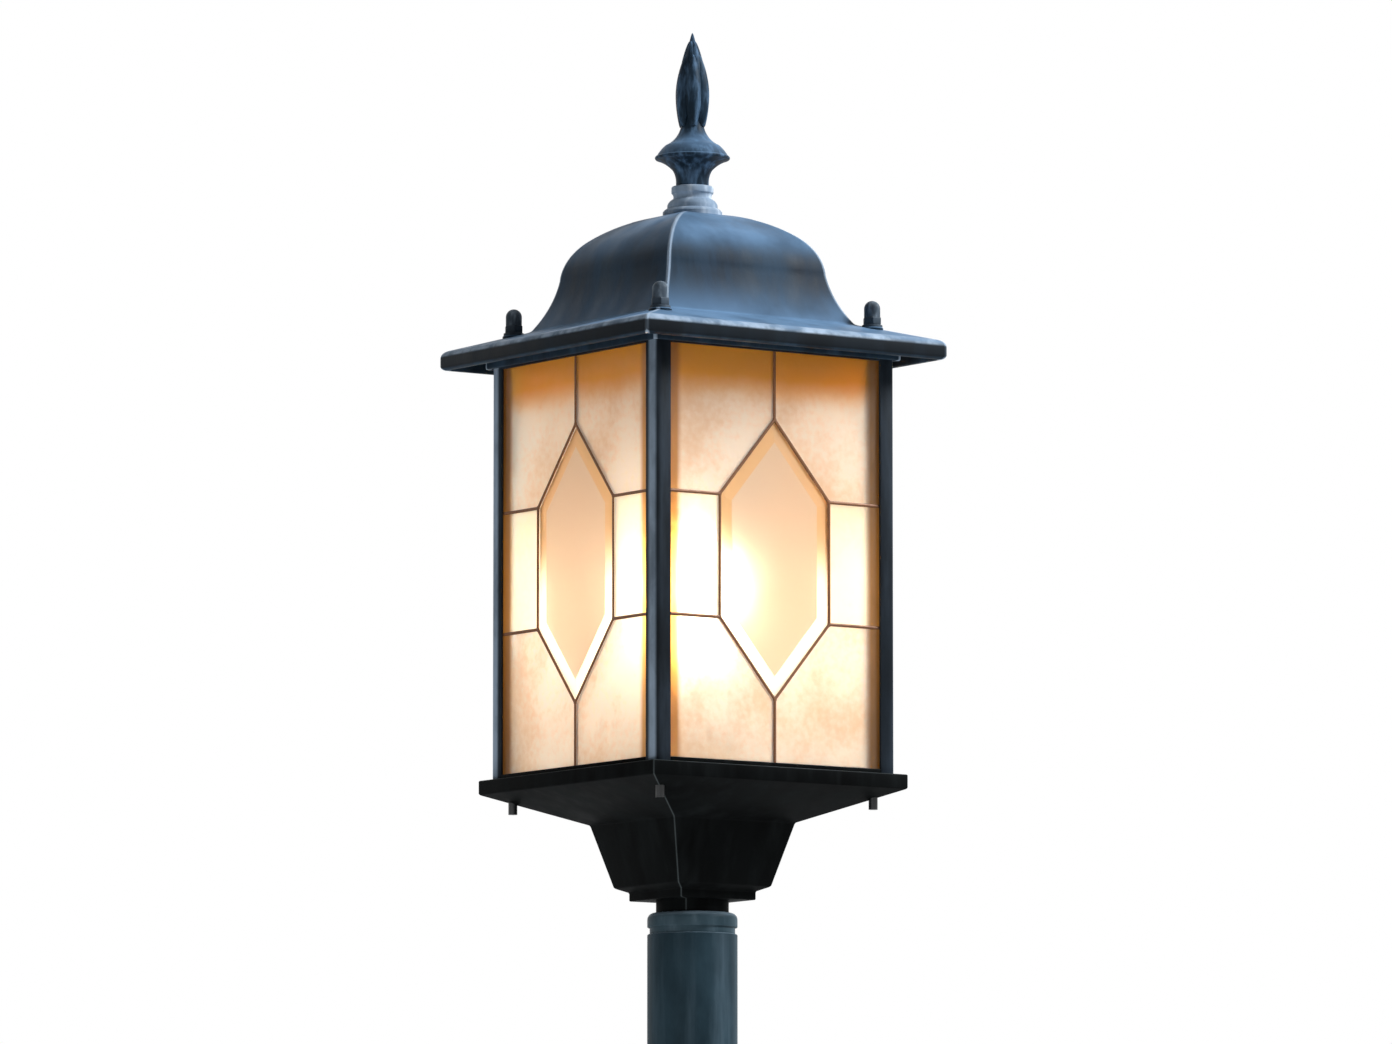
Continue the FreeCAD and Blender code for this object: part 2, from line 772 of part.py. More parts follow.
def make_roof():
    lean = f"atan{FLANGE_SLOPE}"
    round_x = f"{EAVE_HALF} - eave_round * cos({lean})"
    round_z = f"{EAVE_TOP} + eave_round * sin({lean})"
    outer = square_plan(
        [
            (f"{EAVE_HALF} - eave_roll", EAVE),
            (EAVE_HALF, f"{EAVE} + eave_roll", "eave_roll", 1),
            (EAVE_HALF, f"{EAVE_TOP} - eave_round"),
            (round_x, round_z, f"eave_round / tan(45 - {lean} / 2deg)", 1),
            (DOME_FOOT_HALF, FLANGE_TOP),
            (WAIST_HALF, WAIST, "flare_radius", -1),
            (SHOULDER_HALF, SHOULDER, "shoulder_radius", 1),
            ("crown_half", CROWN, "crown_radius", 1),
        ],
        EAVE_HALF,
        "roof_outside",
    )
    hollow = square_plan(
        [
            (f"{EAVE_HALF} - eave_wall", f"{EAVE} - eave_wall"),
            (f"{EAVE_HALF} - eave_wall", f"{EAVE_TOP} - shell_wall"),
            (f"{DOME_FOOT_HALF} - shell_wall", f"{FLANGE_TOP} - shell_wall"),
            (f"{WAIST_HALF} - shell_wall", WAIST, "flare_radius + shell_wall", -1),
            (f"{SHOULDER_HALF} - shell_wall", f"{SHOULDER} - shell_wall", "shoulder_radius - shell_wall", 1),
            ("crown_half - shell_wall", DOME_INSIDE, "crown_radius - shell_wall", 1),
        ],
        EAVE_HALF,
        "roof_hollow",
    )
    skirt_in = "body_half + skirt_fit"
    skirt_out = f"{skirt_in} + skirt_wall"
    skirt_top = f"{EAVE_TOP} + ({EAVE_HALF} - ({skirt_out})) * {FLANGE_SLOPE} - shell_wall / 2"
    skirt_blank = block(minus(skirt_out), skirt_out, minus(skirt_out), skirt_out, EAVE, skirt_top)
    skirt_hole = block(minus(skirt_in), skirt_in, minus(skirt_in), skirt_in, EAVE, skirt_top)
    skirt = cut(skirt_blank, [skirt_hole])
    bosses = [cylinder("boss_radius", f"{PAD} - ({NUT_TOP})", x, y, NUT_TOP)
              for x, y in corner_places(ROD_HALF)]
    faces = [cylinder("boss_radius", "boss_radius", x, y, PAD) for x, y in corner_places(ROD_HALF)]
    holes = [cylinder("rod_radius + roof_hole_fit", "flange_rise + eave_height", x, y, FRAME_TOP)
             for x, y in corner_places(ROD_HALF)]
    stud_hole = cylinder("stud_radius + stud_fit", "4 * shell_wall", "0", "0", f"{CROWN} - 2 * shell_wall")
    shell = cut(outer, [hollow])
    node(cut(fuse([shell, skirt] + bosses), faces + holes + [stud_hole], "roof_shell"), "roof_shell")


def make_cap_nut(corner):
    x, y = [signed(sign, ROD_HALF) for sign in CORNER_SIGNS[corner]]
    washer = cut(
        cylinder("washer_radius", "washer_height", x, y, PAD),
        [cylinder("rod_radius + rod_fit", "washer_height", x, y, PAD)],
        f"cap_washer_{corner}",
    )
    node(washer, f"cap_washer_{corner}")
    base = hexagon("cap_hex_across", "cap_hex_height", x, y, WASHER_TOP)
    barrel = cylinder("cap_dome_radius", "cap_dome_rise + cap_hex_height", x, y, WASHER_TOP)
    dome = doc.addObject("Part::Sphere", "Dome")
    bind(dome, Radius="cap_dome_radius")
    place_at(dome, x, y, f"{WASHER_TOP} + cap_hex_height + cap_dome_rise")
    bore = cylinder("rod_radius + thread_fit", "rod_grip + rod_fit", x, y, WASHER_TOP)
    nut = cut(fuse([base, barrel, dome]), [bore], f"cap_nut_{corner}")
    node(nut, f"cap_nut_{corner}")


# Finial

def make_finial():
    first = f"{CROWN} + collar_height"
    second = f"{first} + tier_height"
    third = f"{second} + waist_height"
    bore = "stud_radius + stud_fit"
    collar = [
        (bore, CROWN),
        ("collar_radius", CROWN),
        ("collar_radius", f"{first} - collar_height / 3"),
        ("tier_radius", first),
        ("tier_radius", f"{first} + tier_height / 2"),
        ("tier_waist", second),
        ("tier_waist", third),
        ("ring_radius", f"{third} + ring_height / 4"),
        ("ring_radius", COLLAR_TOP),
        (bore, COLLAR_TOP),
    ]
    turned("finial_collar", collar)
    make_spire()
    washer = f"{DOME_INSIDE} - finial_washer_height"
    turned(
        "finial_washer",
        [(bore, washer), ("finial_washer_radius", washer), ("finial_washer_radius", DOME_INSIDE),
         (bore, DOME_INSIDE)],
    )
    seat = f"{washer} - finial_nut_height"
    blank = hexagon("finial_nut_across", "finial_nut_height", "0", "0", seat)
    thread = cylinder("stud_radius + thread_fit", "finial_nut_height", "0", "0", seat)
    node(cut(blank, [thread], "finial_nut"), "finial_nut")


def make_spire():
    stud_end = f"{DOME_INSIDE} - stud_tail"
    neck = f"{COLLAR_TOP} + spire_neck_rise"
    cup = f"{neck} + cup_rise"
    brim = f"{cup} + brim_rise"
    bell = f"{brim} + bell_rise"
    bud = f"{bell} + bud_neck_rise"
    tip = f"{bud} + bud_height"
    outline = [
        ("0", stud_end),
        ("stud_radius", stud_end),
        ("stud_radius", COLLAR_TOP),
        ("spire_neck", COLLAR_TOP),
        ("spire_neck", neck),
        ("cup_radius", cup, "cup_rise * 2", -1),
        ("brim_radius", f"{brim} - brim_edge", "brim_radius", -1),
        ("brim_radius", brim),
        ("bell_radius", bell, "brim_radius", 1),
        ("bud_neck", bud, "bell_radius", -1),
        ("bud_core", f"{bud} + bud_height / 2"),
        ("bud_core / 2", f"{tip} - bud_height / 5"),
        ("0", tip),
    ]
    core = revolved("spire_core", outline)
    leaves = []
    outer_level = f"{bud} + leaf_length / 2"
    inner_level = f"{outer_level} + inner_leaf_rise"
    for angle in range(0, 360, 60):
        leaves.append(leaf(angle, "leaf_offset", outer_level, "leaf_radial"))
        leaves.append(leaf(angle + 30, "leaf_offset * 2 / 3", inner_level, "leaf_radial * 2 / 3"))
    node(fuse([core] + leaves, "finial_spire"), "finial_spire")


def leaf(angle, offset, level, thickness):
    """A long pointed oval, one of a ring of leaves that close round the spire."""
    thing = doc.addObject("Part::Ellipsoid", "Leaf")
    bind(thing, Radius1="leaf_length / 2", Radius2=thickness, Radius3="leaf_width")
    thing.Placement = FreeCAD.Placement(FreeCAD.Vector(), FreeCAD.Rotation(FreeCAD.Vector(0, 0, 1), angle))
    return place_at(thing, f"({offset}) * cos({angle})", f"({offset}) * sin({angle})", level)


# Floor plate, lamp holder and lamp

def make_floor():
    holes = [(x, y, "screw_radius + slot_fit") for x, y in screw_places()]
    foot = "bracket_half + bracket_foot / 2"
    holes += [(foot, "0", "screw_radius + thread_fit"), (minus(foot), "0", "screw_radius + thread_fit")]
    holes += [(x, y, "screw_radius + thread_fit") for x, y in block_screw_places()]
    holes += [("0", EARTH_PLACE, "screw_radius + thread_fit"), ("0", "0", "plate_hole")]
    plate("floor_plate", [square(PLATE_HALF)], TRAY, "plate_thickness", holes)
    group([screw(x, y, PLATE_TOP, "screw_length") for x, y in screw_places()], "floor_screws")
    bracket_top = f"{PLATE_TOP} + bracket_metal"
    group([screw(x, "0", bracket_top, "3 * bracket_metal") for x in (foot, minus(foot))], "bracket_screws")
    make_bracket()


def screw(x, y, level, length):
    """A pan head on the given level with its shank below."""
    shank = cylinder("screw_radius", length, x, y, f"{level} - ({length})")
    head = cylinder("screw_head", "screw_head_height", x, y, level)
    slot = block(f"{x} - screw_head", f"{x} + screw_head", f"{y} - screw_head / 8", f"{y} + screw_head / 8",
                 f"{level} + screw_head_height / 2", f"{level} + screw_head_height * 2")
    return cut(fuse([shank, head]), [slot])


def make_bracket():
    inner = "bracket_half - bracket_metal"
    toe = "bracket_half + bracket_foot"
    under = f"{PLATE_TOP} + bracket_rise"
    top = f"{under} + bracket_metal"
    heel = f"{PLATE_TOP} + bracket_metal"
    outline = [
        (inner, PLATE_TOP),
        (toe, PLATE_TOP),
        (toe, heel),
        ("bracket_half", heel),
        ("bracket_half", top),
        (minus("bracket_half"), top),
        (minus("bracket_half"), heel),
        (minus(toe), heel),
        (minus(toe), PLATE_TOP),
        (minus(inner), PLATE_TOP),
        (minus(inner), under),
        (inner, under),
    ]
    body = add_body("bracket_strip")
    pad(body, add_sketch(body, "XZ_Plane", [outline]), "bracket_width", symmetric=True)
    foot = "bracket_half + bracket_foot / 2"
    holes = [cylinder("screw_radius + slot_fit", "bracket_metal", x, "0", PLATE_TOP)
             for x in (foot, minus(foot))]
    holes.append(cylinder("plate_hole", "bracket_metal", "0", "0", under))
    node(cut(body, holes, "holder_bracket"), "holder_bracket")


def make_holder():
    rim = f"{HOLDER_FLOOR} + holder_depth"
    holder = [
        ("plate_hole", HOLDER),
        ("holder_radius * 0.9", HOLDER),
        ("holder_radius", f"{HOLDER} + holder_base / 2"),
        ("holder_radius", f"{rim} - holder_base / 4"),
        ("holder_radius * 0.95", rim),
        ("holder_bore", rim),
        ("holder_bore", HOLDER_FLOOR),
        ("0", HOLDER_FLOOR),
        ("0", f"{HOLDER_FLOOR} - holder_base / 4"),
        ("plate_hole", f"{HOLDER_FLOOR} - holder_base / 4"),
    ]
    turned("holder_body", holder)
    inside = "shell_radius - shell_metal"
    turned(
        "holder_shell",
        [
            (inside, HOLDER_FLOOR),
            ("holder_bore", HOLDER_FLOOR),
            ("holder_bore", f"{HOLDER_FLOOR} + shell_metal"),
            ("shell_radius", f"{HOLDER_FLOOR} + shell_metal"),
            ("shell_radius", f"{rim} - shell_metal"),
            ("holder_bore", f"{rim} - shell_metal"),
            ("holder_bore", rim),
            (inside, rim),
        ],
    )
    plate("holder_contact", [], HOLDER_FLOOR, "contact_height", [("0", "0", "contact_radius")])


def make_lamp():
    turned(
        "bulb_contact",
        [
            ("0", TIP),
            ("tip_radius * 0.6", TIP),
            ("tip_radius", INSULATOR),
            ("cap_radius - cap_metal", CAP),
            ("0", CAP),
        ],
    )
    inside = "cap_radius - cap_metal"
    turned(
        "bulb_cap",
        [
            ("0", CAP),
            ("cap_radius", CAP),
            ("cap_radius", CAP_TOP),
            (inside, CAP_TOP),
            (inside, f"{CAP} + cap_metal"),
            ("0", f"{CAP} + cap_metal"),
        ],
    )
    neck_end = f"{CAP_TOP} - lamp_tuck"
    join_x = "globe_radius * sin(45)"
    join_z = f"{GLOBE} - globe_radius * cos(45)"
    inner_radius = "(globe_radius - glass_wall)"
    inner_x = f"{inner_radius} * sin(45)"
    inner_z = f"{GLOBE} - {inner_radius} * cos(45)"
    waist = f"{CAP_TOP} + tip_height"
    turned(
        "bulb_glass",
        [
            ("lamp_neck - glass_wall", neck_end),
            ("lamp_neck", neck_end),
            ("lamp_neck", waist),
            (join_x, join_z, "globe_radius * 1.3", -1),
            ("0", f"{GLOBE} + globe_radius", "globe_radius", 1),
            ("0", f"{GLOBE} + {inner_radius}"),
            (inner_x, inner_z, inner_radius, -1),
            ("lamp_neck - glass_wall", waist, "globe_radius * 1.3 + glass_wall", 1),
        ],
    )
    stem_top = f"{neck_end} + stem_height"
    stem = [
        ("0", neck_end),
        ("lamp_neck - glass_wall - cap_metal", neck_end),
        ("stem_radius", f"{neck_end} + stem_height / 3"),
        ("stem_radius / 2", stem_top),
        ("0", stem_top),
    ]
    post = revolved("stem_core", stem)
    foot = f"{stem_top} - stem_radius"
    rise = "filament_rise + stem_radius"
    uprights = [cylinder("support_wire", rise, x, "0", foot) for x in ("filament_half", "-filament_half")]
    arms = []
    for name, radius, half, level in (
        ("SupportArm", "stem_radius / 3", "filament_half + support_wire / 2", foot),
        ("Filament", "filament_wire", "filament_half", f"{stem_top} + filament_rise - stem_radius / 2"),
    ):
        arm = doc.addObject("Part::Cylinder", name)
        bind(arm, Radius=radius, Height=f"2 * ({half})")
        arm.Placement = FreeCAD.Placement(FreeCAD.Vector(), FreeCAD.Rotation(FreeCAD.Vector(0, 1, 0), 90))
        arms.append(place_at(arm, minus(half), "0", level))
    node(fuse([post] + arms + uprights, "filament_stem"), "filament_stem")


# Wiring

EARTH_PLACE = f"({OPENING_HALF} - earth_inset)"
BLOCK_LOW = f"{TRAY} - block_height"
LEAD_LEVEL = f"{TRAY} - block_height / 2"


def block_screw_places():
    y = "block_offset + block_depth / 2"
    x = "block_length / 2 - terminal_radius"
    return [(x, y), (minus(x), y)]


def make_wiring():
    y_back = "block_offset + block_depth"
    blank = block("-block_length / 2", "block_length / 2", "block_offset", y_back, BLOCK_LOW, TRAY)
    terminals = [("0", "0"), ("terminal_pitch", "0"), ("-terminal_pitch", "0")]
    middle = "block_offset + block_depth / 2"
    pockets = [cylinder("terminal_radius + thread_fit", "terminal_length", x, middle, BLOCK_LOW)
               for x, _ in terminals]
    sockets = [cylinder("screw_radius + thread_fit", "terminal_length", x, y, f"{TRAY} - terminal_length")
               for x, y in block_screw_places()]
    node(cut(blank, pockets + sockets, "terminal_block"), "terminal_block")
    group([cylinder("terminal_radius", "terminal_length", x, middle, BLOCK_LOW) for x, _ in terminals],
          "terminal_screws")
    group([screw(x, y, PLATE_TOP, "plate_thickness + terminal_length") for x, y in block_screw_places()],
          "block_screws")
    node(screw("0", EARTH_PLACE, PLATE_TOP, "plate_thickness + earth_gap"), "earth_screw")
    make_lead_wire("live_lead", "terminal_pitch")
    make_lead_wire("neutral_lead", "-terminal_pitch")
    earth_level = f"{BLOCK_LOW} + 2 * lead_radius"
    earth = [
        ("0", y_back, earth_level),
        ("0", EARTH_PLACE, earth_level),
        ("0", EARTH_PLACE, f"{TRAY} - earth_gap"),
    ]
    make_wire("earth_lead", earth)


def make_lead_wire(name, x):
    """From the terminal block to the underside of the lamp holder, up through the floor plate."""
    under = f"{HOLDER_FLOOR} - holder_base / 4"
    route = [(x, "block_offset", LEAD_LEVEL), (x, "0", LEAD_LEVEL), (x, "0", under)]
    make_wire(name, route)


def make_wire(name, route):
    """A round wire of two straight runs and the arc between them."""
    start, bend, end = [FreeCAD.Vector(*[size(formula) for formula in place]) for place in route]
    arc_reach = 0.45 * min((bend - start).Length, (end - bend).Length)
    into = (bend - start).normalize()
    away = (end - bend).normalize()
    half_turn = into.getAngle(away) / 2
    bend_start = bend - into * arc_reach
    bend_end = bend + away * arc_reach
    radius = arc_reach / math.tan(half_turn)
    centre = bend_start + (away - into * into.dot(away)).normalize() * radius
    middle = centre + (bend - centre).normalize() * radius
    path = Part.Wire([
        Part.LineSegment(start, bend_start).toShape(),
        Part.Arc(bend_start, middle, bend_end).toShape(),
        Part.LineSegment(bend_end, end).toShape(),
    ])
    thickness = size("lead_radius")
    section = Part.Wire([Part.Circle(start, into, thickness).toShape()])
    thing = doc.addObject("Part::Feature", name)
    thing.Shape = path.makePipeShell([section], True, False)
    expected = math.pi * thickness ** 2 * path.Length
    print(name, "radius", round(radius, 2), "volume", round(thing.Shape.Volume / expected, 4))
    return node(thing, name)


def write_parts():
    doc.recompute()
    for thing in doc.Objects:
        if "Invalid" in thing.State or "Error" in thing.State:
            raise RuntimeError(f"{thing.Name} failed: {thing.State}")
    os.makedirs("parts", exist_ok=True)
    for thing in nodes:
        shape = thing.Shape
        if shape.isNull() or not shape.isValid() or not shape.Solids:
            raise RuntimeError(f"{thing.Label} has no valid solid")
        shape.exportStep(f"parts/{thing.Label}.step")
        print(thing.Label, len(shape.Solids), round(shape.Volume / 1000, 2), "cm3")


make_post()
make_base()
make_cage()
make_rods()
make_frame()
make_roof()
for corner_name in CORNERS:
    make_cap_nut(corner_name)
make_finial()
make_floor()
make_holder()
make_lamp()
make_wiring()
write_parts()
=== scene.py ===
import json
import math

import bmesh
import bpy
from bpy.props import FloatProperty, FloatVectorProperty, IntProperty, PointerProperty
from mathutils import Matrix, Vector


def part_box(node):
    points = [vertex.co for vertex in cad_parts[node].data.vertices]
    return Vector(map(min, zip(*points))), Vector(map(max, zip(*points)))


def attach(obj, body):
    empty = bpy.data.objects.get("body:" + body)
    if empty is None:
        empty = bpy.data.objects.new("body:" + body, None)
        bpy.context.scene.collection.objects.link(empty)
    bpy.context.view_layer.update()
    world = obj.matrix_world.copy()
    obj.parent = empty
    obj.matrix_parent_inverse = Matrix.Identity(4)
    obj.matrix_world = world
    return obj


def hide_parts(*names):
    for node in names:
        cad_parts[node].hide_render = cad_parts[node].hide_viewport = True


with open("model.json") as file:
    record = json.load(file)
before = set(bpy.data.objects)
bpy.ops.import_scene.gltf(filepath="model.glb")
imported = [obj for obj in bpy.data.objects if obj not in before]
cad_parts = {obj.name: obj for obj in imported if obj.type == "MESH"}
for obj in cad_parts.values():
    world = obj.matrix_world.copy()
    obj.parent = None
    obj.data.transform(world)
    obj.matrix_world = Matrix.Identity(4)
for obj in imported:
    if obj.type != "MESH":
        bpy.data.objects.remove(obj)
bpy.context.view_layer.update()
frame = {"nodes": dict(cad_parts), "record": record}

bl_info = {
    "name": "Post Top Lantern",
    "version": (1, 0, 0),
    "blender": (4, 5, 0),
    "location": "View3D > Sidebar > Lantern",
    "description": "Dresses a square post top lantern with cast, glazed and turned pieces",
    "category": "Object",
}

SIDES = {"front": 0, "right": 90, "back": 180, "left": 270}
CORNERS = {"front_left": (-1, -1), "front_right": (1, -1), "back_right": (1, 1), "back_left": (-1, 1)}

# Lengths in metres
MERGE_DISTANCE = 0.000001
BOX_MARGIN = 0.00001
SOFT_LEVEL = 0.001
FASCIA_DEPTHS = (0.0008, 0.0002)
LIP_DEPTHS = (0.0070, 0.0050)
HALF_LINE = 0.0004
ROOF_SHADE_DROPS = (0.034, 0.012)
ROOF_SHADE_WOBBLE = 0.012
POST_SHADE_EDGES = (0.0735, 0.0790)
GLOW_REACH = 0.13
HEXAGON_GLOW_REACH = 0.12
FACET_DEPTHS = (0.00004, 0.00016)
FACET_BACKS = (0.0003, 0.0005)
FACET_RISES = (0.055, -0.005)

# Dark, middle and rubbed colour of the paints that are the same on every lantern; the collar and rim paints
# are lighter copies of the casting's and the post's paint, a painted highlight, the hip colour is a painted
# highlight and the fascia colour a painted shade
COLLAR_HIGHLIGHT_PAINT = ((0.12, 0.17, 0.24), (0.46, 0.58, 0.72), (0.80, 0.86, 0.92))
BASE_PAINT = ((0.003, 0.003, 0.003), (0.007, 0.008, 0.008), (0.07, 0.08, 0.08))
CAGE_PAINT = ((0.006, 0.007, 0.008), (0.020, 0.027, 0.036), (0.26, 0.35, 0.46))
RIM_HIGHLIGHT_PAINT = ((0.024, 0.045, 0.058), (0.078, 0.125, 0.150), (0.26, 0.34, 0.40))
NUT_MIDDLE = (0.12, 0.15, 0.18)
NUT_RUBBED = (0.50, 0.58, 0.66)
POST_DARK = (0.010, 0.022, 0.030)
POST_RUBBED_AND_HIGHLIGHT = (0.22, 0.30, 0.36)
HIP_HIGHLIGHT = (0.46, 0.56, 0.68)
FASCIA_SHADE = (0.008, 0.009, 0.010)
STEEL = (0.55, 0.55, 0.53)

# Glass colours; the side panes' paler colour is painted light, and the upper facets' deep amber is painted
# shade
SIDE_PANE_GLOW = (1.0, 0.90, 0.70)
HEXAGON_FLAT = (0.86, 0.69, 0.52)
HEXAGON_TOP_SHADE = (0.84, 0.52, 0.22)
FROSTED = (0.95, 0.92, 0.85)

# Sizes of the patterns: the higher the number, the finer the pattern
STREAKS = (90, 90, 12)
BLOTCH_SCALE = 34.0
PATCH_SCALE = 17.0
LIP_BREAKUP_SCALE = 60.0
GRAIN_SCALE = 420.0
FINE_SCALE = 500.0
BROAD_SCALE = 30.0
CLOUD_SCALE = 22.0
HAMMERED_SCALE = 120.0
SPECK_SCALE = 210.0
RIPPLE_SCALE = 90.0

# Name, colour, metal, roughness, scale of the grain and its strength
PLAIN_FINISHES = (
    ("steel", STEEL, 1.0, 0.32, 500.0, 0.15),
    ("brass", (0.72, 0.52, 0.24), 1.0, 0.3, 500.0, 0.15),
    ("floor_paint", (0.66, 0.64, 0.58), 0.0, 0.45, 350.0, 0.15),
    ("glazing_rubber", (0.02, 0.02, 0.02), 0.0, 0.7, 600.0, 0.15),
    ("porcelain", (0.80, 0.77, 0.70), 0.0, 0.18, 80.0, 0.05),
    ("filament", (0.80, 0.62, 0.36), 1.0, 0.3, 300.0, 0.15),
    ("insulator", (0.02, 0.02, 0.02), 0.0, 0.4, 300.0, 0.15),
    ("live_sleeve", (0.14, 0.055, 0.02), 0.0, 0.45, 300.0, 0.15),
    ("neutral_sleeve", (0.015, 0.06, 0.35), 0.0, 0.45, 300.0, 0.15),
    ("earth_sleeve", (0.10, 0.35, 0.05), 0.0, 0.45, 300.0, 0.15),
)

# Shape of a leaf as shares of its width and height; girth and sharpness are powers
LEAF_GIRTH = 0.62
LEAF_FLATNESS = 0.62
LEAF_FOOT = 0.06
RIB_HEIGHT = 0.35
RIB_SHARPNESS = 6
DRAW_START = 0.45

# Leaves round the bud, from the outer ring to the inner: how many, where they start and end as shares of its
# height, distance from the axis, width, how far the tip is drawn in, and the first one's turn in degrees
LEAF_RINGS = (
    (6, 0.00, 0.76, 0.0076, 0.0056, 0.34, 0.0),
    (6, 0.05, 0.91, 0.0052, 0.0048, 0.62, 30.0),
    (4, 0.30, 1.00, 0.0020, 0.0032, 0.95, 15.0),
)

# Name, place, width and colour of each lamp of the stage; their powers are settings
STAGE_LAMPS = (
    ("key", (2.9, -2.4, 3.2), 1.8, (0.88, 0.94, 1.0)),
    ("back", (-1.2, 2.4, 3.0), 2.0, (0.85, 0.93, 1.0)),
    ("side", (-2.4, -1.1, -0.7), 0.8, (0.92, 0.96, 1.0)),
)
LAMPS_AIM = Vector((0, 0, 0.45))
SENSOR_WIDTH = 36
VIEW_REACH = 50
SKY = (0.86, 0.93, 1.0, 1)
WHITE = (1, 1, 1, 1)
FLOOR_COLOUR = (0.88, 0.88, 0.87, 1)


# Sizes and colours that a user would change

def length(name, description, millimetres):
    return FloatProperty(
        name=name, description=description, default=millimetres / 1000, unit="LENGTH", subtype="DISTANCE"
    )


def number(name, description, value):
    return FloatProperty(name=name, description=description, default=value)


def colour(name, description, value):
    return FloatVectorProperty(
        name=name, description=description, default=value, size=3, min=0, max=1, subtype="COLOR"
    )


class LanternRoofSizes(bpy.types.PropertyGroup):
    eave_height: length("Eave height", "Height of the roof's outer edge", 12.2)
    eave_roll: length("Eave roll", "Radius of the eave's lower edge", 3.0)
    eave_round: length("Eave round", "How far the eave's upper edge is rounded", 3.8)
    eave_wall: length("Eave wall", "Thickness of the eave's edge", 4.5)
    flange_rise: length("Flange rise", "Rise of the flat flange round the dome", 12.5)
    foot_half: length("Dome foot", "Half the dome's width at its foot", 78.2)
    waist_half: length("Dome waist", "Half the dome's width where it turns outwards", 64.2)
    waist_rise: length("Waist rise", "Height of the flared foot", 33.8)
    flare_radius: length("Flare radius", "Radius of the flared foot", 84.0)
    shoulder_half: length("Shoulder half", "Half the dome's width at its shoulder", 50.0)
    shoulder_rise: length("Shoulder rise", "Height of the rounded shoulder", 27.0)
    shoulder_radius: length("Shoulder radius", "Radius of the rounded shoulder", 38.0)
    crown_half: length("Crown half", "Half width of the flat crown", 20.0)
    crown_radius: length("Crown radius", "Radius from the shoulder up to the crown", 75.0)
    crown_hole: length("Crown hole", "Radius of the hole for the spire's stud", 4.5)
    wall: length("Roof wall", "Thickness of the casting", 3.0)
    skirt_wall: length("Skirt wall", "Thickness of the locating rim round the cage", 2.2)
    hip_round: length("Hip round", "Radius of the dome's four hips", 1.6)
    pad_radius: length("Pad radius", "Radius of the raised pad under each cap nut", 7.6)
    pad_edge: length("Pad edge", "Chamfer of the pad", 0.6)
    rod_hole: length("Rod hole", "Radius of the hole for each tie rod", 3.5)
    skirt_gap: length("Skirt gap", "Gap between the locating rim and the cage", 0.8)


class LanternBaseSizes(bpy.types.PropertyGroup):
    neck_radius: length("Neck radius", "Outer radius of the neck", 24.2)
    neck_bore: length("Neck bore", "Inner radius of the neck", 19.0)
    foot_half: length("Foot half", "Half width of the bottom plate", 30.4)
    foot_height: length("Foot height", "Height of the bottom plate", 5.6)
    step_half: length("Step half", "Half width above the step", 37.7)
    step_height: length("Step height", "Height of the step", 3.2)
    pyramid_half: length("Pyramid half", "Half width at the top of the flared part", 49.2)
    pyramid_height: length("Pyramid height", "Height of the flared part", 42.1)
    slope_height: length("Slope height", "Rise of the underside of the tray", 21.7)
    tray_rim: length("Tray rim", "Height of the tray's edge", 9.5)
    opening_half: length("Opening half", "Half width of the opening under the floor plate", 70.0)
    wall: length("Base wall", "Thickness of the casting", 3.0)
    edge_round: length("Edge round", "Radius of the casting's edges", 0.9)
    cable_hole: length("Cable hole", "Half width of the hole in the bottom plate", 9.0)
    neck_edge: length("Neck edge", "Chamfer of the neck's lower end", 0.8)
    sill_edge: length("Sill edge", "Radius of the edges of the sills under the glass", 0.5)


class LanternCageSizes(bpy.types.PropertyGroup):
    leg_width: length("Leg width", "Width of each corner post on each face", 12.0)
    leg_thickness: length("Leg thickness", "Thickness of the part in front of the glass", 2.2)
    glass_thickness: length("Glass thickness", "Thickness of the glass", 3.0)
    slot_fit: length("Slot fit", "Clearance between glass and post", 0.2)
    corner_round: length("Corner round", "Radius of the post's outer corner", 4.0)
    edge_round: length("Post edge round", "Radius of the post's small edges", 0.5)
    hexagon_half: length("Hexagon half", "Half width of the hexagon", 44.2)
    hexagon_side: length("Hexagon side", "Half height of its upright sides", 40.6)
    hexagon_reach: length("Hexagon reach", "Half its height", 92.7)
    lead_width: length("Lead width", "Width of the lead lines", 2.1)
    lead_height: length("Lead height", "How far the lead stands off the glass", 0.8)
    joint_radius: length("Joint radius", "Radius of a soldered joint", 1.6)


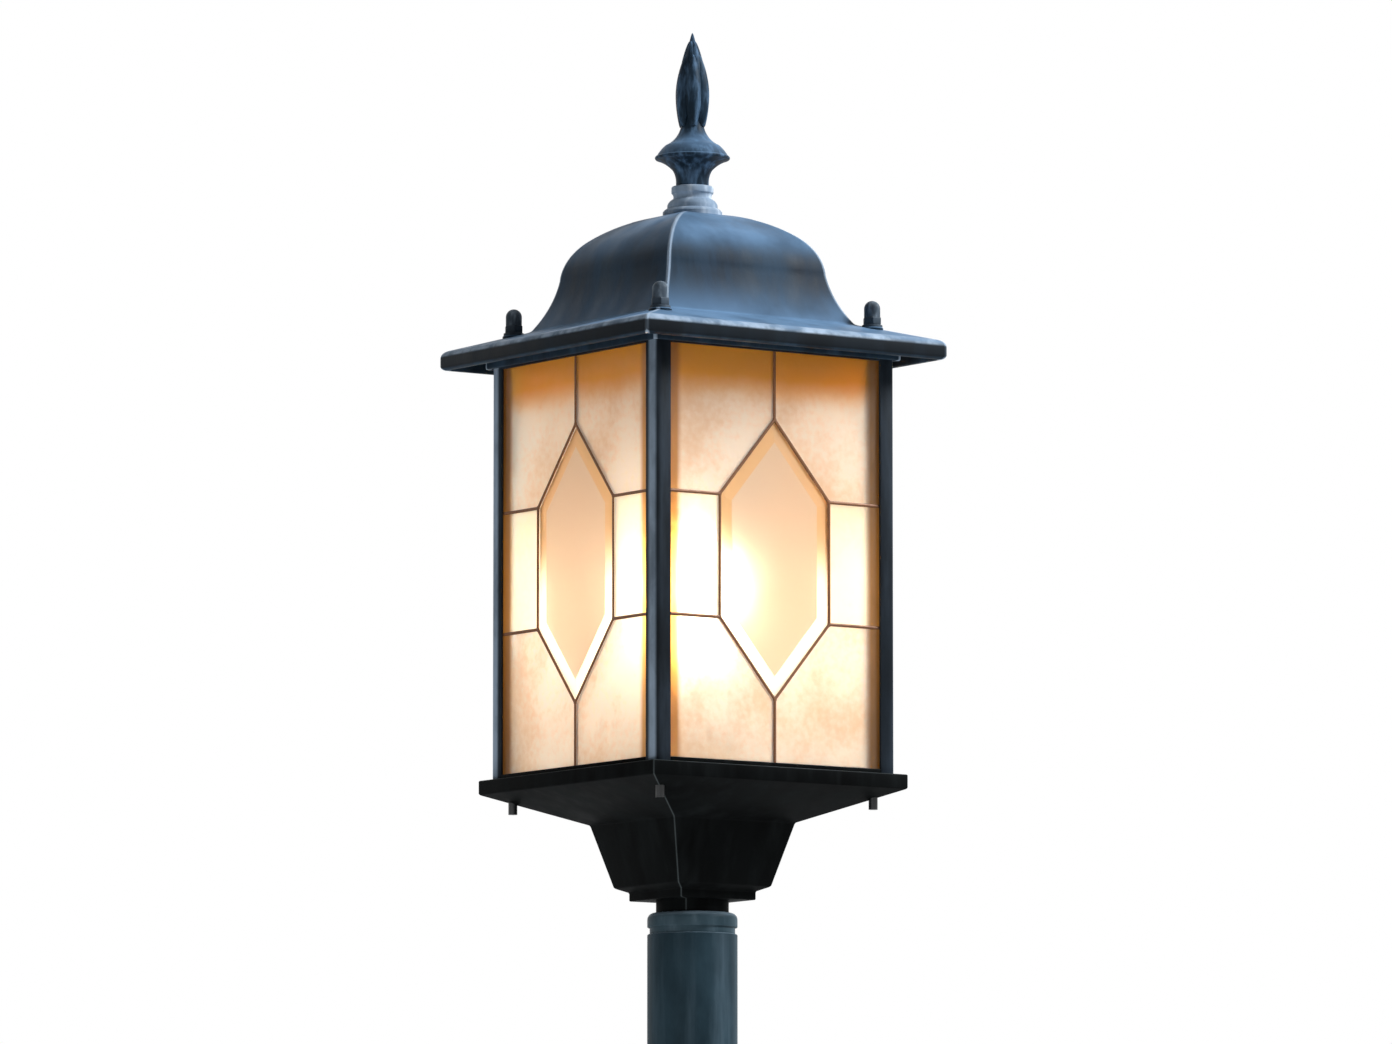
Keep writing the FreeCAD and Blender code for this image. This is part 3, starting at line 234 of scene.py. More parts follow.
class LanternFinialSizes(bpy.types.PropertyGroup):
    collar_height: length("Collar height", "Height of the lowest ring", 5.2)
    tier_radius: length("Tier radius", "Radius of the second ring", 16.9)
    tier_height: length("Tier height", "Height of the second ring", 6.6)
    tier_waist: length("Tier waist", "Radius between the rings", 13.0)
    waist_height: length("Waist height", "Height between the rings", 3.6)
    ring_radius: length("Ring radius", "Radius of the top ring", 14.1)
    neck_radius: length("Spire neck", "Radius of the spire's neck", 11.0)
    neck_rise: length("Neck rise", "Height of the neck", 3.0)
    cup_radius: length("Cup radius", "Radius under the brim", 13.2)
    cup_rise: length("Cup rise", "Height of the cup", 8.0)
    brim_rise: length("Brim rise", "Height from cup to brim", 8.3)
    bell_radius: length("Bell radius", "Radius half way up the bell", 18.2)
    bell_rise: length("Bell rise", "Height of the bell's lower half", 8.4)
    bud_neck: length("Bud neck", "Radius where the bud starts", 7.8)
    bud_rise: length("Bud rise", "Height of the bell's upper half", 12.6)
    stud_radius: length("Stud radius", "Radius of the threaded stud", 4.0)
    stud_fit: length("Stud fit", "Clearance between the stud and the collar", 0.3)
    ring_edge: length("Ring edge", "Radius of the collar's upper edge", 1.2)
    ring_lip: length("Ring lip", "Radius of the top ring's lower edge", 0.8)
    brim_edge: length("Brim edge", "Radius of the brim's edge", 1.2)
    core_rise: length("Core rise", "Height of the foot of the bud's core", 4.0)
    core_bow: length("Core bow", "Radius of the core's long curve", 120.0)
    tip_radius: length("Tip radius", "Radius of the core's tip", 0.4)
    tip_edge: length("Tip edge", "Height of the bevel at the core's tip", 0.2)
    tip_drop: length("Tip drop", "How far the core's tip lies below the leaves", 2.8)


class LanternNutSizes(bpy.types.PropertyGroup):
    hex_height: length("Hexagon height", "Height of the cap nut's hexagon", 5.0)
    dome_radius: length("Dome radius", "Radius of the cap nut's dome", 5.4)
    chamfer: length("Chamfer", "Chamfer of the hexagon's corners", 0.6)
    dome_sink: length("Dome sink", "How far the dome reaches into the hexagon", 0.5)
    washer_edge: length("Washer edge", "Radius of the washer's edge", 0.5)
    washer_bore: length("Washer bore", "Radius of the washer's hole", 3.3)


class LanternLampSizes(bpy.types.PropertyGroup):
    neck_radius: length("Lamp neck", "Radius of the lamp's glass in its cap", 12.4)
    neck_rise: length("Lamp neck rise", "How far the neck stands above the cap", 1.0)
    thread_depth: length("Thread depth", "Depth of the cap's thread", 0.8)
    turns: IntProperty(name="Turns", description="Turns of the cap's thread", default=5, min=1)


class LanternPostSizes(bpy.types.PropertyGroup):
    wall: length("Post wall", "Thickness of the sleeve's wall", 3.0)
    seat_depth: length("Seat depth", "How far the upper end is turned out for the collar", 0.4)
    seat_length: length("Seat length", "Length of the turned out end", 33.6)
    plug_fit: length("Plug fit", "Clearance between the collar's plug and the sleeve", 0.2)
    groove_height: length("Groove height", "Height of the groove between sleeve and rim", 4.4)
    groove_depth: length("Groove depth", "Depth of the groove", 1.6)
    rim_round: length("Rim round", "Radius of the rim's upper edge", 4.5)
    neck_bore: length("Neck bore", "Radius of the hole that the neck turns in", 24.3)
    lip_radius: length("Lip radius", "Radius of the hole in the collar's lower lip", 17.0)
    lip_height: length("Lip height", "Thickness of the collar's lower lip", 3.5)
    sleeve_edge: length("Sleeve edge", "Radius of the sleeve's end edges", 0.9)
    rim_edge: length("Rim edge", "Radius of the rim's lower edge", 0.6)


class LanternStageSettings(bpy.types.PropertyGroup):
    azimuth: number("Azimuth", "Camera angle about the post, in degrees", -35.0)
    distance: length("Distance", "Level distance from the post's axis to the camera", 6485)
    eye_height: length("Eye height", "Camera height above the origin", -317)
    aim_height: length("Aim height", "Height of the point in the middle of the picture", 409.2)
    aim_side: length("Aim side", "How far right of the axis the camera aims", 2.4)
    lens: number("Lens", "Focal length in millimetres", 253.0)
    floor_depth: length("Floor depth", "How far the floor lies below the origin", 1600)
    floor_half: length("Floor half", "Half the width of the floor", 25000)
    ambient: number("Ambient", "Strength of the light from all round", 0.08)
    key_power: number("Key light", "Power of the main lamp in watts", 330.0)
    floor_light: number("Floor light", "Evens out the pale floor", 0.5)
    back_power: number("Back light", "Power of the lamp above and behind", 10.0)
    side_power: number("Side light", "Power of the low lamp on the left in watts", 17.0)
    lamp_glow: number("Lamp glow", "Brightness of the lit lamp", 60.0)


class LanternColours(bpy.types.PropertyGroup):
    paint_dark: colour("Dark paint", "Paint in the hollows of the castings", (0.006, 0.011, 0.019))
    paint_mid: colour("Middle paint", "Paint on the flats of the castings", (0.020, 0.042, 0.066))
    # Also the painted highlight on the upward faces of the roof and the spire, besides the silver where
    # paint is rubbed back.
    paint_rubbed_and_highlight: colour("Rubbed paint", "Silver where the paint is rubbed back", (0.24, 0.41, 0.64))
    post_mid: colour("Post paint", "Paint of the post", (0.036, 0.068, 0.088))
    amber: colour("Amber glass", "The glass seen against the light", (0.96, 0.86, 0.74))
    amber_deep: colour("Deep amber", "The darker streaks in the glass", (0.80, 0.60, 0.42))
    # Painted shade in the glass: the deep amber under the roof's edge.
    amber_roof_shade: colour("Amber band", "The deep amber under the roof's edge", (0.80, 0.40, 0.045))
    # Painted shade in the glass: brown where the posts lie behind it.
    amber_post_shade: colour("Amber edge", "The brown glass beside the posts", (0.42, 0.19, 0.035))
    # Painted highlight on the lower facets of the middle glass.
    facet_highlight: colour("Facets", "The bevelled edges of the middle glass", (1.0, 0.93, 0.74))
    lead: colour("Lead", "The lines between the glass", (0.21, 0.082, 0.030))
    lamp: colour("Lamp light", "The light of the lamp", (1.0, 0.88, 0.72))


# Shapes

def arc(start, end, radius, turn, count=12):
    """Points from start to end round an arc, without its start; turn 1 has the centre on the left."""
    start = Vector(start)
    end = Vector(end)
    chord = end - start
    left = Vector((-chord.y, chord.x)).normalized()
    rise = math.sqrt(max(radius ** 2 - (chord.length / 2) ** 2, 0))
    centre = (start + end) / 2 + left * turn * rise
    first = start - centre
    sweep = 2 * math.asin(min(chord.length / 2 / radius, 1)) * turn
    points = []
    for step in range(1, count + 1):
        angle = sweep * step / count
        cos = math.cos(angle)
        sin = math.sin(angle)
        points.append(centre + Vector((first.x * cos - first.y * sin, first.x * sin + first.y * cos)))
    return [tuple(point) for point in points]


def corners(name):
    """The low and the high corner of a CAD node's box."""
    return [Vector(corner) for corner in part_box(name)]


def new_piece(name, mesh_data, body, finish_name, *replaced, slot=None, limit=32):
    """Turns a bmesh into a shown piece that rides on a body and stands for CAD nodes."""
    smooth(mesh_data, limit)
    material = finish(finish_name)
    mesh = bpy.data.meshes.new(name)
    mesh_data.to_mesh(mesh)
    mesh_data.free()
    piece = bpy.data.objects.new(name, mesh)
    bpy.context.scene.collection.objects.link(piece)
    mesh.materials.append(material)
    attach(piece, body)
    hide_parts(*replaced)


def smooth(mesh_data, limit):
    """Smooth shading, with every edge above the limit in degrees kept sharp."""
    for face in mesh_data.faces:
        face.smooth = True
    for edge in mesh_data.edges:
        if len(edge.link_faces) == 2:
            edge.smooth = edge.calc_face_angle(0) < math.radians(limit)


def close(mesh_data):
    """Merges the seams and turns every face outwards."""
    bmesh.ops.remove_doubles(mesh_data, verts=mesh_data.verts, dist=MERGE_DISTANCE)
    bmesh.ops.recalc_face_normals(mesh_data, faces=mesh_data.faces)


def spun(mesh_data, profile, steps, first_turn=0.0, stretch=1.0, closed=False):
    """Spins a profile of (radius, level) points about the vertical axis."""
    direction = Vector((math.cos(first_turn), math.sin(first_turn), 0)) * stretch
    verts = [mesh_data.verts.new(direction * x + Vector((0, 0, z))) for x, z in profile]
    pairs = list(zip(verts, verts[1:]))
    if closed:
        pairs.append((verts[-1], verts[0]))
    edges = [mesh_data.edges.new(pair) for pair in pairs]
    bmesh.ops.spin(
        mesh_data, geom=verts + edges, cent=(0, 0, 0), axis=(0, 0, 1), angle=2 * math.pi, steps=steps,
        use_merge=True,
    )


def turned(profile, steps=96, closed=True):
    """A turned piece; a closed profile goes round its wall."""
    mesh_data = bmesh.new()
    spun(mesh_data, profile, steps, closed=closed)
    close(mesh_data)
    return mesh_data


def square_cast(profile, edge_round, limit=24, closed=True):
    """A casting of square plan with its sharp edges rounded."""
    mesh_data = bmesh.new()
    spun(mesh_data, profile, 4, math.radians(45), math.sqrt(2), closed)
    close(mesh_data)
    round_edges(mesh_data, edge_round, limit)
    return mesh_data


def round_edges(mesh_data, width, limit=24, segments=3):
    """Rounds every edge sharper than the limit in degrees."""
    sharp = [
        edge for edge in mesh_data.edges
        if len(edge.link_faces) == 2 and edge.calc_face_angle(0) > math.radians(limit)
    ]
    bmesh.ops.bevel(
        mesh_data, geom=sharp, offset=width, offset_type="OFFSET", affect="EDGES", segments=segments,
        profile=0.5, material=-1, clamp_overlap=True,
    )


def move(mesh_data, offset, verts=None):
    bmesh.ops.translate(mesh_data, vec=offset, verts=verts or mesh_data.verts)


def turn_about_axis(mesh_data, degrees):
    bmesh.ops.rotate(mesh_data, cent=(0, 0, 0), matrix=Matrix.Rotation(math.radians(degrees), 3, "Z"),
                     verts=mesh_data.verts)


def join(target, added):
    """Adds one bmesh's faces to another."""
    mesh = bpy.data.meshes.new("carried")
    added.to_mesh(mesh)
    added.free()
    target.from_mesh(mesh)
    bpy.data.meshes.remove(mesh)


# Materials

def start_material(name):
    """A new material's nodes and shader; it takes the name of the frame's plain one."""
    plain = bpy.data.materials.get(name)
    if plain:
        plain.name = f"plain_{name}"
    material = bpy.data.materials.new(name)
    material.use_nodes = True
    return material.node_tree, material.node_tree.nodes["Principled BSDF"]


def finish(name):
    return bpy.data.materials[name]


def place_pattern(tree, stretch=(1, 1, 1)):
    coordinates = tree.nodes.new("ShaderNodeTexCoord")
    mapping = tree.nodes.new("ShaderNodeMapping")
    mapping.inputs["Scale"].default_value = stretch
    tree.links.new(coordinates.outputs["Object"], mapping.inputs["Vector"])
    return mapping.outputs["Vector"]


def noise(tree, scale, detail=4.0, stretch=(1, 1, 1), roughness=0.55):
    texture = tree.nodes.new("ShaderNodeTexNoise")
    for socket, value in (("Scale", scale), ("Detail", detail), ("Roughness", roughness)):
        texture.inputs[socket].default_value = value
    tree.links.new(place_pattern(tree, stretch), texture.inputs["Vector"])
    return texture.outputs["Fac"]


def spread(tree, value, low, high, new_low=0.0, new_high=1.0):
    """Maps a value from one range to another, held at the ends."""
    node = tree.nodes.new("ShaderNodeMapRange")
    node.interpolation_type = "SMOOTHSTEP"
    for index, bound in enumerate((low, high, new_low, new_high), 1):
        node.inputs[index].default_value = bound
    tree.links.new(value, node.inputs[0])
    return node.outputs[0]


def calculate(tree, operation, first, second=None):
    node = tree.nodes.new("ShaderNodeMath")
    node.operation = operation
    for index, value in enumerate((first, second)):
        if isinstance(value, (int, float)):
            node.inputs[index].default_value = value
        elif value is not None:
            tree.links.new(value, node.inputs[index])
    return node.outputs[0]


def times(tree, first, second):
    return calculate(tree, "MULTIPLY", first, second)


def absolute(tree, value):
    return calculate(tree, "ABSOLUTE", value)


def blend_colours(tree, factor, first, second):
    node = tree.nodes.new("ShaderNodeMix")
    node.data_type = "RGBA"
    tree.links.new(factor, node.inputs["Factor"])
    for socket, value in ((node.inputs[6], first), (node.inputs[7], second)):
        if hasattr(value, "is_output"):
            tree.links.new(value, socket)
        else:
            socket.default_value = (*value, 1.0)
    return node.outputs[2]


def raise_bumps(tree, shader, height, strength, distance=0.0003):
    node = tree.nodes.new("ShaderNodeBump")
    node.inputs["Strength"].default_value = strength
    node.inputs["Distance"].default_value = distance
    tree.links.new(height, node.inputs["Height"])
    tree.links.new(node.outputs["Normal"], shader.inputs["Normal"])


def axes_of(tree):
    split = tree.nodes.new("ShaderNodeSeparateXYZ")
    tree.links.new(place_pattern(tree), split.inputs[0])
    return split.outputs


def across(tree, operation):
    """The distances from the upright axis along X and along Y, taken together by an operation."""
    x, y, _ = axes_of(tree)
    return calculate(tree, operation, absolute(tree, x), absolute(tree, y))


def off_level(tree, level):
    """How far a point is above or below a level."""
    return absolute(tree, calculate(tree, "SUBTRACT", axes_of(tree)[2], level))


def level_of(name):
    """The level of the middle of a CAD node."""
    low, high = corners(name)
    return (low.z + high.z) / 2


def hip_mask(tree, width, shift):
    """1 along the four hips, where the two face directions meet, for a painted highlight; shift moves it
    round onto the faces that look along X.
    """
    apart = calculate(tree, "SUBTRACT", across(tree, "SUBTRACT"), shift)
    return spread(tree, absolute(tree, apart), width, width * 0.35)


def facing_up(tree, low, high):
    """0 to 1 as a face turns from upright to looking up; the object only turns about the upright axis."""
    surface = tree.nodes.new("ShaderNodeNewGeometry")
    parts = tree.nodes.new("ShaderNodeSeparateXYZ")
    tree.links.new(surface.outputs["Normal"], parts.inputs[0])
    return spread(tree, parts.outputs[2], low, high)


def worn_paint_with_painted_light(name, colours, wear, streak=STREAKS, dark_below=None, sheen=0.06, upper=0.0, hip_width=0.0,
                 hip=None, hip_shift=0.0, eave=0.0):
    """Dark paint brushed with silver in upright streaks and soft blotches, with painted highlights on upward
    faces and along the hips, and painted shade and highlight on the roof's eave.
    """
    tree, shader = start_material(name)
    dark, middle, rubbed = colours
    streaks = noise(tree, 1.0, 5.0, streak, 0.5)
    blotches = noise(tree, BLOTCH_SCALE, 5.0, (1, 1, 0.5))
    body = blend_colours(tree, spread(tree, blotches, 0.15, 0.85), dark, middle)
    brushed = times(tree, spread(tree, streaks, 0.40, 0.85), wear)
    if dark_below:
        raised = spread(tree, axes_of(tree)[2], dark_below - SOFT_LEVEL, dark_below + SOFT_LEVEL)
        brushed = times(tree, brushed, raised)
    painted = blend_colours(tree, brushed, body, rubbed)
    # Painted highlight: faces that look up are lightened towards the rubbed colour in patches, as if lit
    # from above.
    if upper:
        patches = spread(tree, noise(tree, PATCH_SCALE), 0.34, 0.66, 0.45, 1.0)
        lifted = times(tree, facing_up(tree, 0.26, 0.82), times(tree, patches, upper))
        painted = blend_colours(tree, lifted, painted, rubbed)
    # Painted highlight along the hips and the posts' rounded corners, broken up unevenly.
    if hip_width:
        uneven = spread(tree, blotches, 0.25, 0.6, 0.35, 0.9)
        hips = times(tree, hip_mask(tree, hip_width, hip_shift), uneven)
        painted = blend_colours(tree, hips, painted, hip or rubbed)
    if eave:
        painted = painted_eave_light(tree, painted, eave)
    tree.links.new(painted, shader.inputs["Base Color"])
    shader.inputs["Specular IOR Level"].default_value = sheen
    tree.links.new(spread(tree, streaks, 0.3, 0.8, 0.42, 0.60), shader.inputs["Roughness"])
    grain = noise(tree, GRAIN_SCALE, 3.0)
    raise_bumps(tree, shader, calculate(tree, "ADD", grain, times(tree, streaks, 0.6)), 0.18)


def painted_eave_light(tree, painted, eave):
    """Painted shade on the roof's upright edge, and a painted highlight, broken up unevenly, on the rounding
    above it.
    """
    reach = across(tree, "MAXIMUM")
    fascia = spread(tree, reach, *(eave - depth for depth in FASCIA_DEPTHS))
    upright = times(tree, fascia, facing_up(tree, 0.35, 0.05))
    painted = blend_colours(tree, times(tree, upright, 0.85), painted, FASCIA_SHADE)
    rounding = spread(tree, reach, *(eave - depth for depth in LIP_DEPTHS))
    lip = times(tree, rounding, facing_up(tree, 0.10, 0.45))
    lip_highlight = times(tree, lip, spread(tree, noise(tree, LIP_BREAKUP_SCALE), 0.36, 0.62, 0.25, 0.95))
    return blend_colours(tree, lip_highlight, painted, HIP_HIGHLIGHT)


def rod_steel(name, base, paint, level):
    """Bright steel above a level and paint below it, where the rods' tails stick out under the tray."""
    tree, shader = start_material(name)
    fine = noise(tree, FINE_SCALE)
    bare = spread(tree, axes_of(tree)[2], level - SOFT_LEVEL / 2, level + SOFT_LEVEL / 2)
    tree.links.new(blend_colours(tree, bare, paint, base), shader.inputs["Base Color"])
    tree.links.new(bare, shader.inputs["Metallic"])
    tree.links.new(spread(tree, fine, 0.3, 0.7, 0.30, 0.42), shader.inputs["Roughness"])
    raise_bumps(tree, shader, fine, 0.15)


def glow_near(tree, reach):
    """Painted pool of the lamp's light: 1 level with the lamp, falling off up and down the pane."""
    return spread(tree, off_level(tree, level_of("bulb_glass")), reach, 0.0, 0.30, 1.0)


def side_panes(tree):
    """1 on the panes beside the hexagons, between the level lead lines."""
    edge = bpy.context.scene.lantern_cage.hexagon_side
    return spread(tree, off_level(tree, level_of("bevel_glass_front")), edge + HALF_LINE, edge - HALF_LINE)


def lit_glass(tree, shader, colour, roughness, glow):
    """Links what both kinds of glass share: a see-through body with a painted glow in its own colour,
    standing in for the lamp's light on the glass.
    """
    for source, socket in ((colour, "Base Color"), (colour, "Emission Color"), (roughness, "Roughness"),
                           (glow, "Emission Strength")):
        tree.links.new(source, shader.inputs[socket])
    for socket, value in (("Transmission Weight", 0.86), ("IOR", 1.45), ("Specular IOR Level", 0.15)):
        shader.inputs[socket].default_value = value


def amber_glass(name, amber, deep, band, edge, glow):
    """Hammered glass with painted light: a painted glow brightest level with the lamp, paler side panes, and
    painted shade in deep amber under the roof's edge and in brown beside the posts.
    """
    tree, shader = start_material(name)
    clouds = noise(tree, CLOUD_SCALE, 4.0, (1, 1, 0.7), 0.5)
    hammered = noise(tree, HAMMERED_SCALE, 2.5, (1, 1, 0.8), 0.5)
    mottle = calculate(tree, "ADD", clouds, times(tree, noise(tree, SPECK_SCALE, 3.0), 0.55))
    colour = blend_colours(tree, spread(tree, mottle, 0.60, 1.06), amber, deep)
    # Painted shade: deep amber along the top of the panes, where the roof's lamp-lit underside lies behind
    # the glass.
    top = corners("glass_pane_front")[1].z
    shaded = calculate(tree, "ADD", axes_of(tree)[2], times(tree, clouds, ROOF_SHADE_WOBBLE))
    roof_shade = spread(tree, shaded, *(top - drop for drop in ROOF_SHADE_DROPS))
    colour = blend_colours(tree, roof_shade, colour, band)
    # Painted light: the side panes beside the hexagons are made paler and glow more strongly.
    panes = side_panes(tree)
    colour = blend_colours(tree, times(tree, panes, 0.75), colour, SIDE_PANE_GLOW)
    # Painted shade: a brown strip down each side of a pane, where the post behind it shows darkly, lit
    # orange by the lamp.
    colour = blend_colours(tree, spread(tree, across(tree, "MINIMUM"), *POST_SHADE_EDGES), colour, edge)
    # Painted glow: the lamp's light on the glass, mottled by the clouds.
    mottled = times(tree, glow_near(tree, GLOW_REACH), spread(tree, clouds, 0.25, 0.75, 1.08, 0.80))
    lit = times(tree, mottled, spread(tree, panes, 0.0, 1.0, glow, glow * 1.4))
    lit_glass(tree, shader, colour, spread(tree, hammered, 0.3, 0.7, 0.36, 0.54), lit)
    raise_bumps(tree, shader, hammered, 0.42, 0.0008)


def bevelled_glass(name, flat, facet_highlight, facet_top_shade, glow, facet_glow):
    """Clear tinted glass with painted light on its sloping edges: the lower facets are painted light and
    glow strongly, the upper facets get painted shade in deep amber, and the flat middle glows a little.
    """
    tree, shader = start_material(name)
    ripple = noise(tree, RIPPLE_SCALE, 3.0, (1, 1, 0.7), 0.5)
    depth = across(tree, "MAXIMUM")
    low, high = corners("bevel_glass_front")
    sloping = times(tree, spread(tree, depth, *(-low.y - inwards for inwards in FACET_DEPTHS)),
                    spread(tree, depth, *(outwards - high.y for outwards in FACET_BACKS)))
    middle = level_of("bulb_glass")
    lower = spread(tree, axes_of(tree)[2], *(middle + rise for rise in FACET_RISES))
    # Painted highlight on the lower facets and painted shade on the upper ones; the glow below is painted
    # light too.
    colour = blend_colours(tree, sloping, flat, blend_colours(tree, lower, facet_top_shade, facet_highlight))
    facets = spread(tree, times(tree, sloping, lower), 0.0, 1.0, glow, facet_glow)
    lit = times(tree, glow_near(tree, HEXAGON_GLOW_REACH), facets)
    lit_glass(tree, shader, colour, spread(tree, ripple, 0.3, 0.7, 0.34, 0.42), lit)
    raise_bumps(tree, shader, ripple, 0.02, 0.0001)


def plain_finish(name, base, metallic, roughness, grain_scale, grain):
    """A plain finish with a little grain and unevenness."""
    tree, shader = start_material(name)
    fine = noise(tree, grain_scale)
    broad = noise(tree, BROAD_SCALE, 3.0)
    shade = blend_colours(tree, spread(tree, broad, 0.3, 0.7), tuple(c * 0.72 for c in base), base)
    tree.links.new(shade, shader.inputs["Base Color"])
    shader.inputs["Metallic"].default_value = metallic
    uneven = spread(tree, fine, 0.3, 0.7, roughness * 0.8, roughness * 1.2)
    tree.links.new(uneven, shader.inputs["Roughness"])
    raise_bumps(tree, shader, fine, grain)


def lamp_glass(name, light, strength):
    """Frosted glass that shines."""
    tree, shader = start_material(name)
    shine = spread(tree, noise(tree, FINE_SCALE, 2.0), 0.3, 0.7, strength * 0.92, strength)
    tree.links.new(shine, shader.inputs["Emission Strength"])
    shader.inputs["Base Color"].default_value = (*FROSTED, 1)
    shader.inputs["Emission Color"].default_value = (*light, 1)
    shader.inputs["Roughness"].default_value = 0.3


def make_materials():
    scene = bpy.context.scene
    tint = scene.lantern_colours
    casting = (tint.paint_dark, tint.paint_mid, tint.paint_rubbed_and_highlight)
    worn_paint_with_painted_light("roof_casting", casting, 0.10, (70, 70, 7), upper=0.68, hip_width=0.0026, hip=HIP_HIGHLIGHT,
                 eave=corners("roof_shell")[1].x)
    worn_paint_with_painted_light("finial_paint", casting, 0.55, (220, 220, 60), upper=0.75)
    # The finial's collar: a lighter copy of the casting's paint, a painted highlight.
    worn_paint_with_painted_light("collar_paint", COLLAR_HIGHLIGHT_PAINT, 0.9, (160, 160, 60))
    worn_paint_with_painted_light("base_casting", BASE_PAINT, 0.10, sheen=0.01, upper=0.9, hip_width=0.0010)
    worn_paint_with_painted_light("cage_casting", CAGE_PAINT, 0.10, hip_width=0.0056, hip=HIP_HIGHLIGHT, hip_shift=0.0045)
    worn_paint_with_painted_light("nut_finish", (tint.paint_dark, NUT_MIDDLE, NUT_RUBBED), 0.9, (200, 200, 60),
                 corners("cap_nut_front_left")[0].z + scene.lantern_nuts.hex_height)
    worn_paint_with_painted_light("post_paint", (POST_DARK, tint.post_mid, POST_RUBBED_AND_HIGHLIGHT), 0.22, (120, 120, 8), upper=1.0)
    # The post's rim: a lighter copy of the post's paint, a painted highlight.
    worn_paint_with_painted_light("rim_paint", RIM_HIGHLIGHT_PAINT, 0.30, (120, 120, 30), upper=1.0)
    amber_glass("amber_glass", tint.amber, tint.amber_deep, tint.amber_roof_shade, tint.amber_post_shade, 0.22)
    bevelled_glass("bevelled_glass", HEXAGON_FLAT, tint.facet_highlight, HEXAGON_TOP_SHADE, 0.08, 0.9)
    rod_steel("rod_steel", STEEL, CAGE_PAINT[0], corners("floor_plate")[0].z)
    plain_finish("leading", tint.lead, 0.3, 0.5, 250.0, 0.3)
    for row in PLAIN_FINISHES:
        plain_finish(*row)
    lamp_glass("lamp_glass", tint.lamp, scene.lantern_stage.lamp_glow)


# Pieces

class LANTERN_OT_finishes(bpy.types.Operator):
    """Gives every carried-over part its own finish"""
    bl_idname = "lantern.finishes"
    bl_label = "Finish carried-over parts"

    def execute(self, context):
        make_materials()
        slots = {entry["node"]: entry["material_slot"] for entry in frame["record"]["subparts"]}
        for name, part in frame["nodes"].items():
            part.data.materials.clear()
            part.data.materials.append(finish(slots[name]))
        frame["nodes"]["tie_rods"].data.materials[0] = finish("rod_steel")
        return {"FINISHED"}


class LANTERN_OT_roof(bpy.types.Operator):
    """Casts the flared roof with its rolled eave, hollow inside"""
    bl_idname = "lantern.roof"
    bl_label = "Roof"

    def execute(self, context):
        size = context.scene.lantern_roof
        low, high = corners("roof_shell")
        frame_high = corners("top_frame")[1]
        eave = high.x - BOX_MARGIN
        eave_top = low.z + size.eave_height
        flange_top = eave_top + size.flange_rise
        waist = flange_top + size.waist_rise
        shoulder = waist + size.shoulder_rise
        crown = high.z
        lean = math.atan(size.flange_rise / (eave - size.foot_half))
        rolled = (eave - size.eave_round * math.cos(lean), eave_top + size.eave_round * math.sin(lean))
        round_radius = size.eave_round / math.tan(math.radians(45) - lean / 2)
        outside = [(eave - size.eave_roll, low.z)]
        outside += arc(outside[-1], (eave, low.z + size.eave_roll), size.eave_roll, 1, 5)
        outside.append((eave, eave_top - size.eave_round))
        outside += arc(outside[-1], rolled, round_radius, 1, 6)
        outside.append((size.foot_half, flange_top))
        outside += arc(outside[-1], (size.waist_half, waist), size.flare_radius, -1, 14)
        outside += arc(outside[-1], (size.shoulder_half, shoulder), size.shoulder_radius, 1, 18)
        outside += arc(outside[-1], (size.crown_half, crown), size.crown_radius, 1, 10)
        hole = size.crown_hole
        outside.append((hole, crown))
        wall = size.wall
        inside = [(hole, crown - wall), (size.crown_half - wall, crown - wall)]
        for half, level, radius, turn in (
            (size.shoulder_half, shoulder - wall, size.crown_radius - wall, -1),
            (size.waist_half, waist, size.shoulder_radius - wall, -1),
            (size.foot_half, flange_top - wall, size.flare_radius + wall, 1),
        ):
            inside += arc(inside[-1], (half - wall, level), radius, turn, 10)
        skirt_in = frame_high.x + size.skirt_gap
        skirt_out = skirt_in + size.skirt_wall
        slope = math.tan(lean)

        def under(half):
            return flange_top - wall - (half - size.foot_half) * slope

        inside += [(skirt_in, under(skirt_in)), (skirt_in, low.z), (skirt_out, low.z),
                   (skirt_out, under(skirt_out)), (eave - size.eave_wall, under(eave - size.eave_wall)),
                   (eave - size.eave_wall, low.z)]
        mesh_data = square_cast(outside + inside, size.hip_round, 30)
        self.bosses(mesh_data, size)
        new_piece("roof_casting_shell", mesh_data, "roof", "roof_casting", "roof_shell")
        return {"FINISHED"}

    def bosses(self, mesh_data, size):
        """The four pads under the cap nuts, with the holes for the rods."""
        washer_low, washer_high = corners("cap_washer_back_right")
        middle = (washer_low + washer_high) / 2
        top = washer_low.z
        bottom = corners("frame_nuts")[1].z
        radius = size.pad_radius
        edge = size.pad_edge
        profile = [(size.rod_hole, top), (radius - edge, top), (radius, top - edge), (radius, bottom),
                   (size.rod_hole, bottom)]
        for x, y in CORNERS.values():
            boss = bmesh.new()
            spun(boss, profile, 40, closed=True)
            move(boss, (x * middle.x, y * middle.y, 0))
            close(boss)
            join(mesh_data, boss)


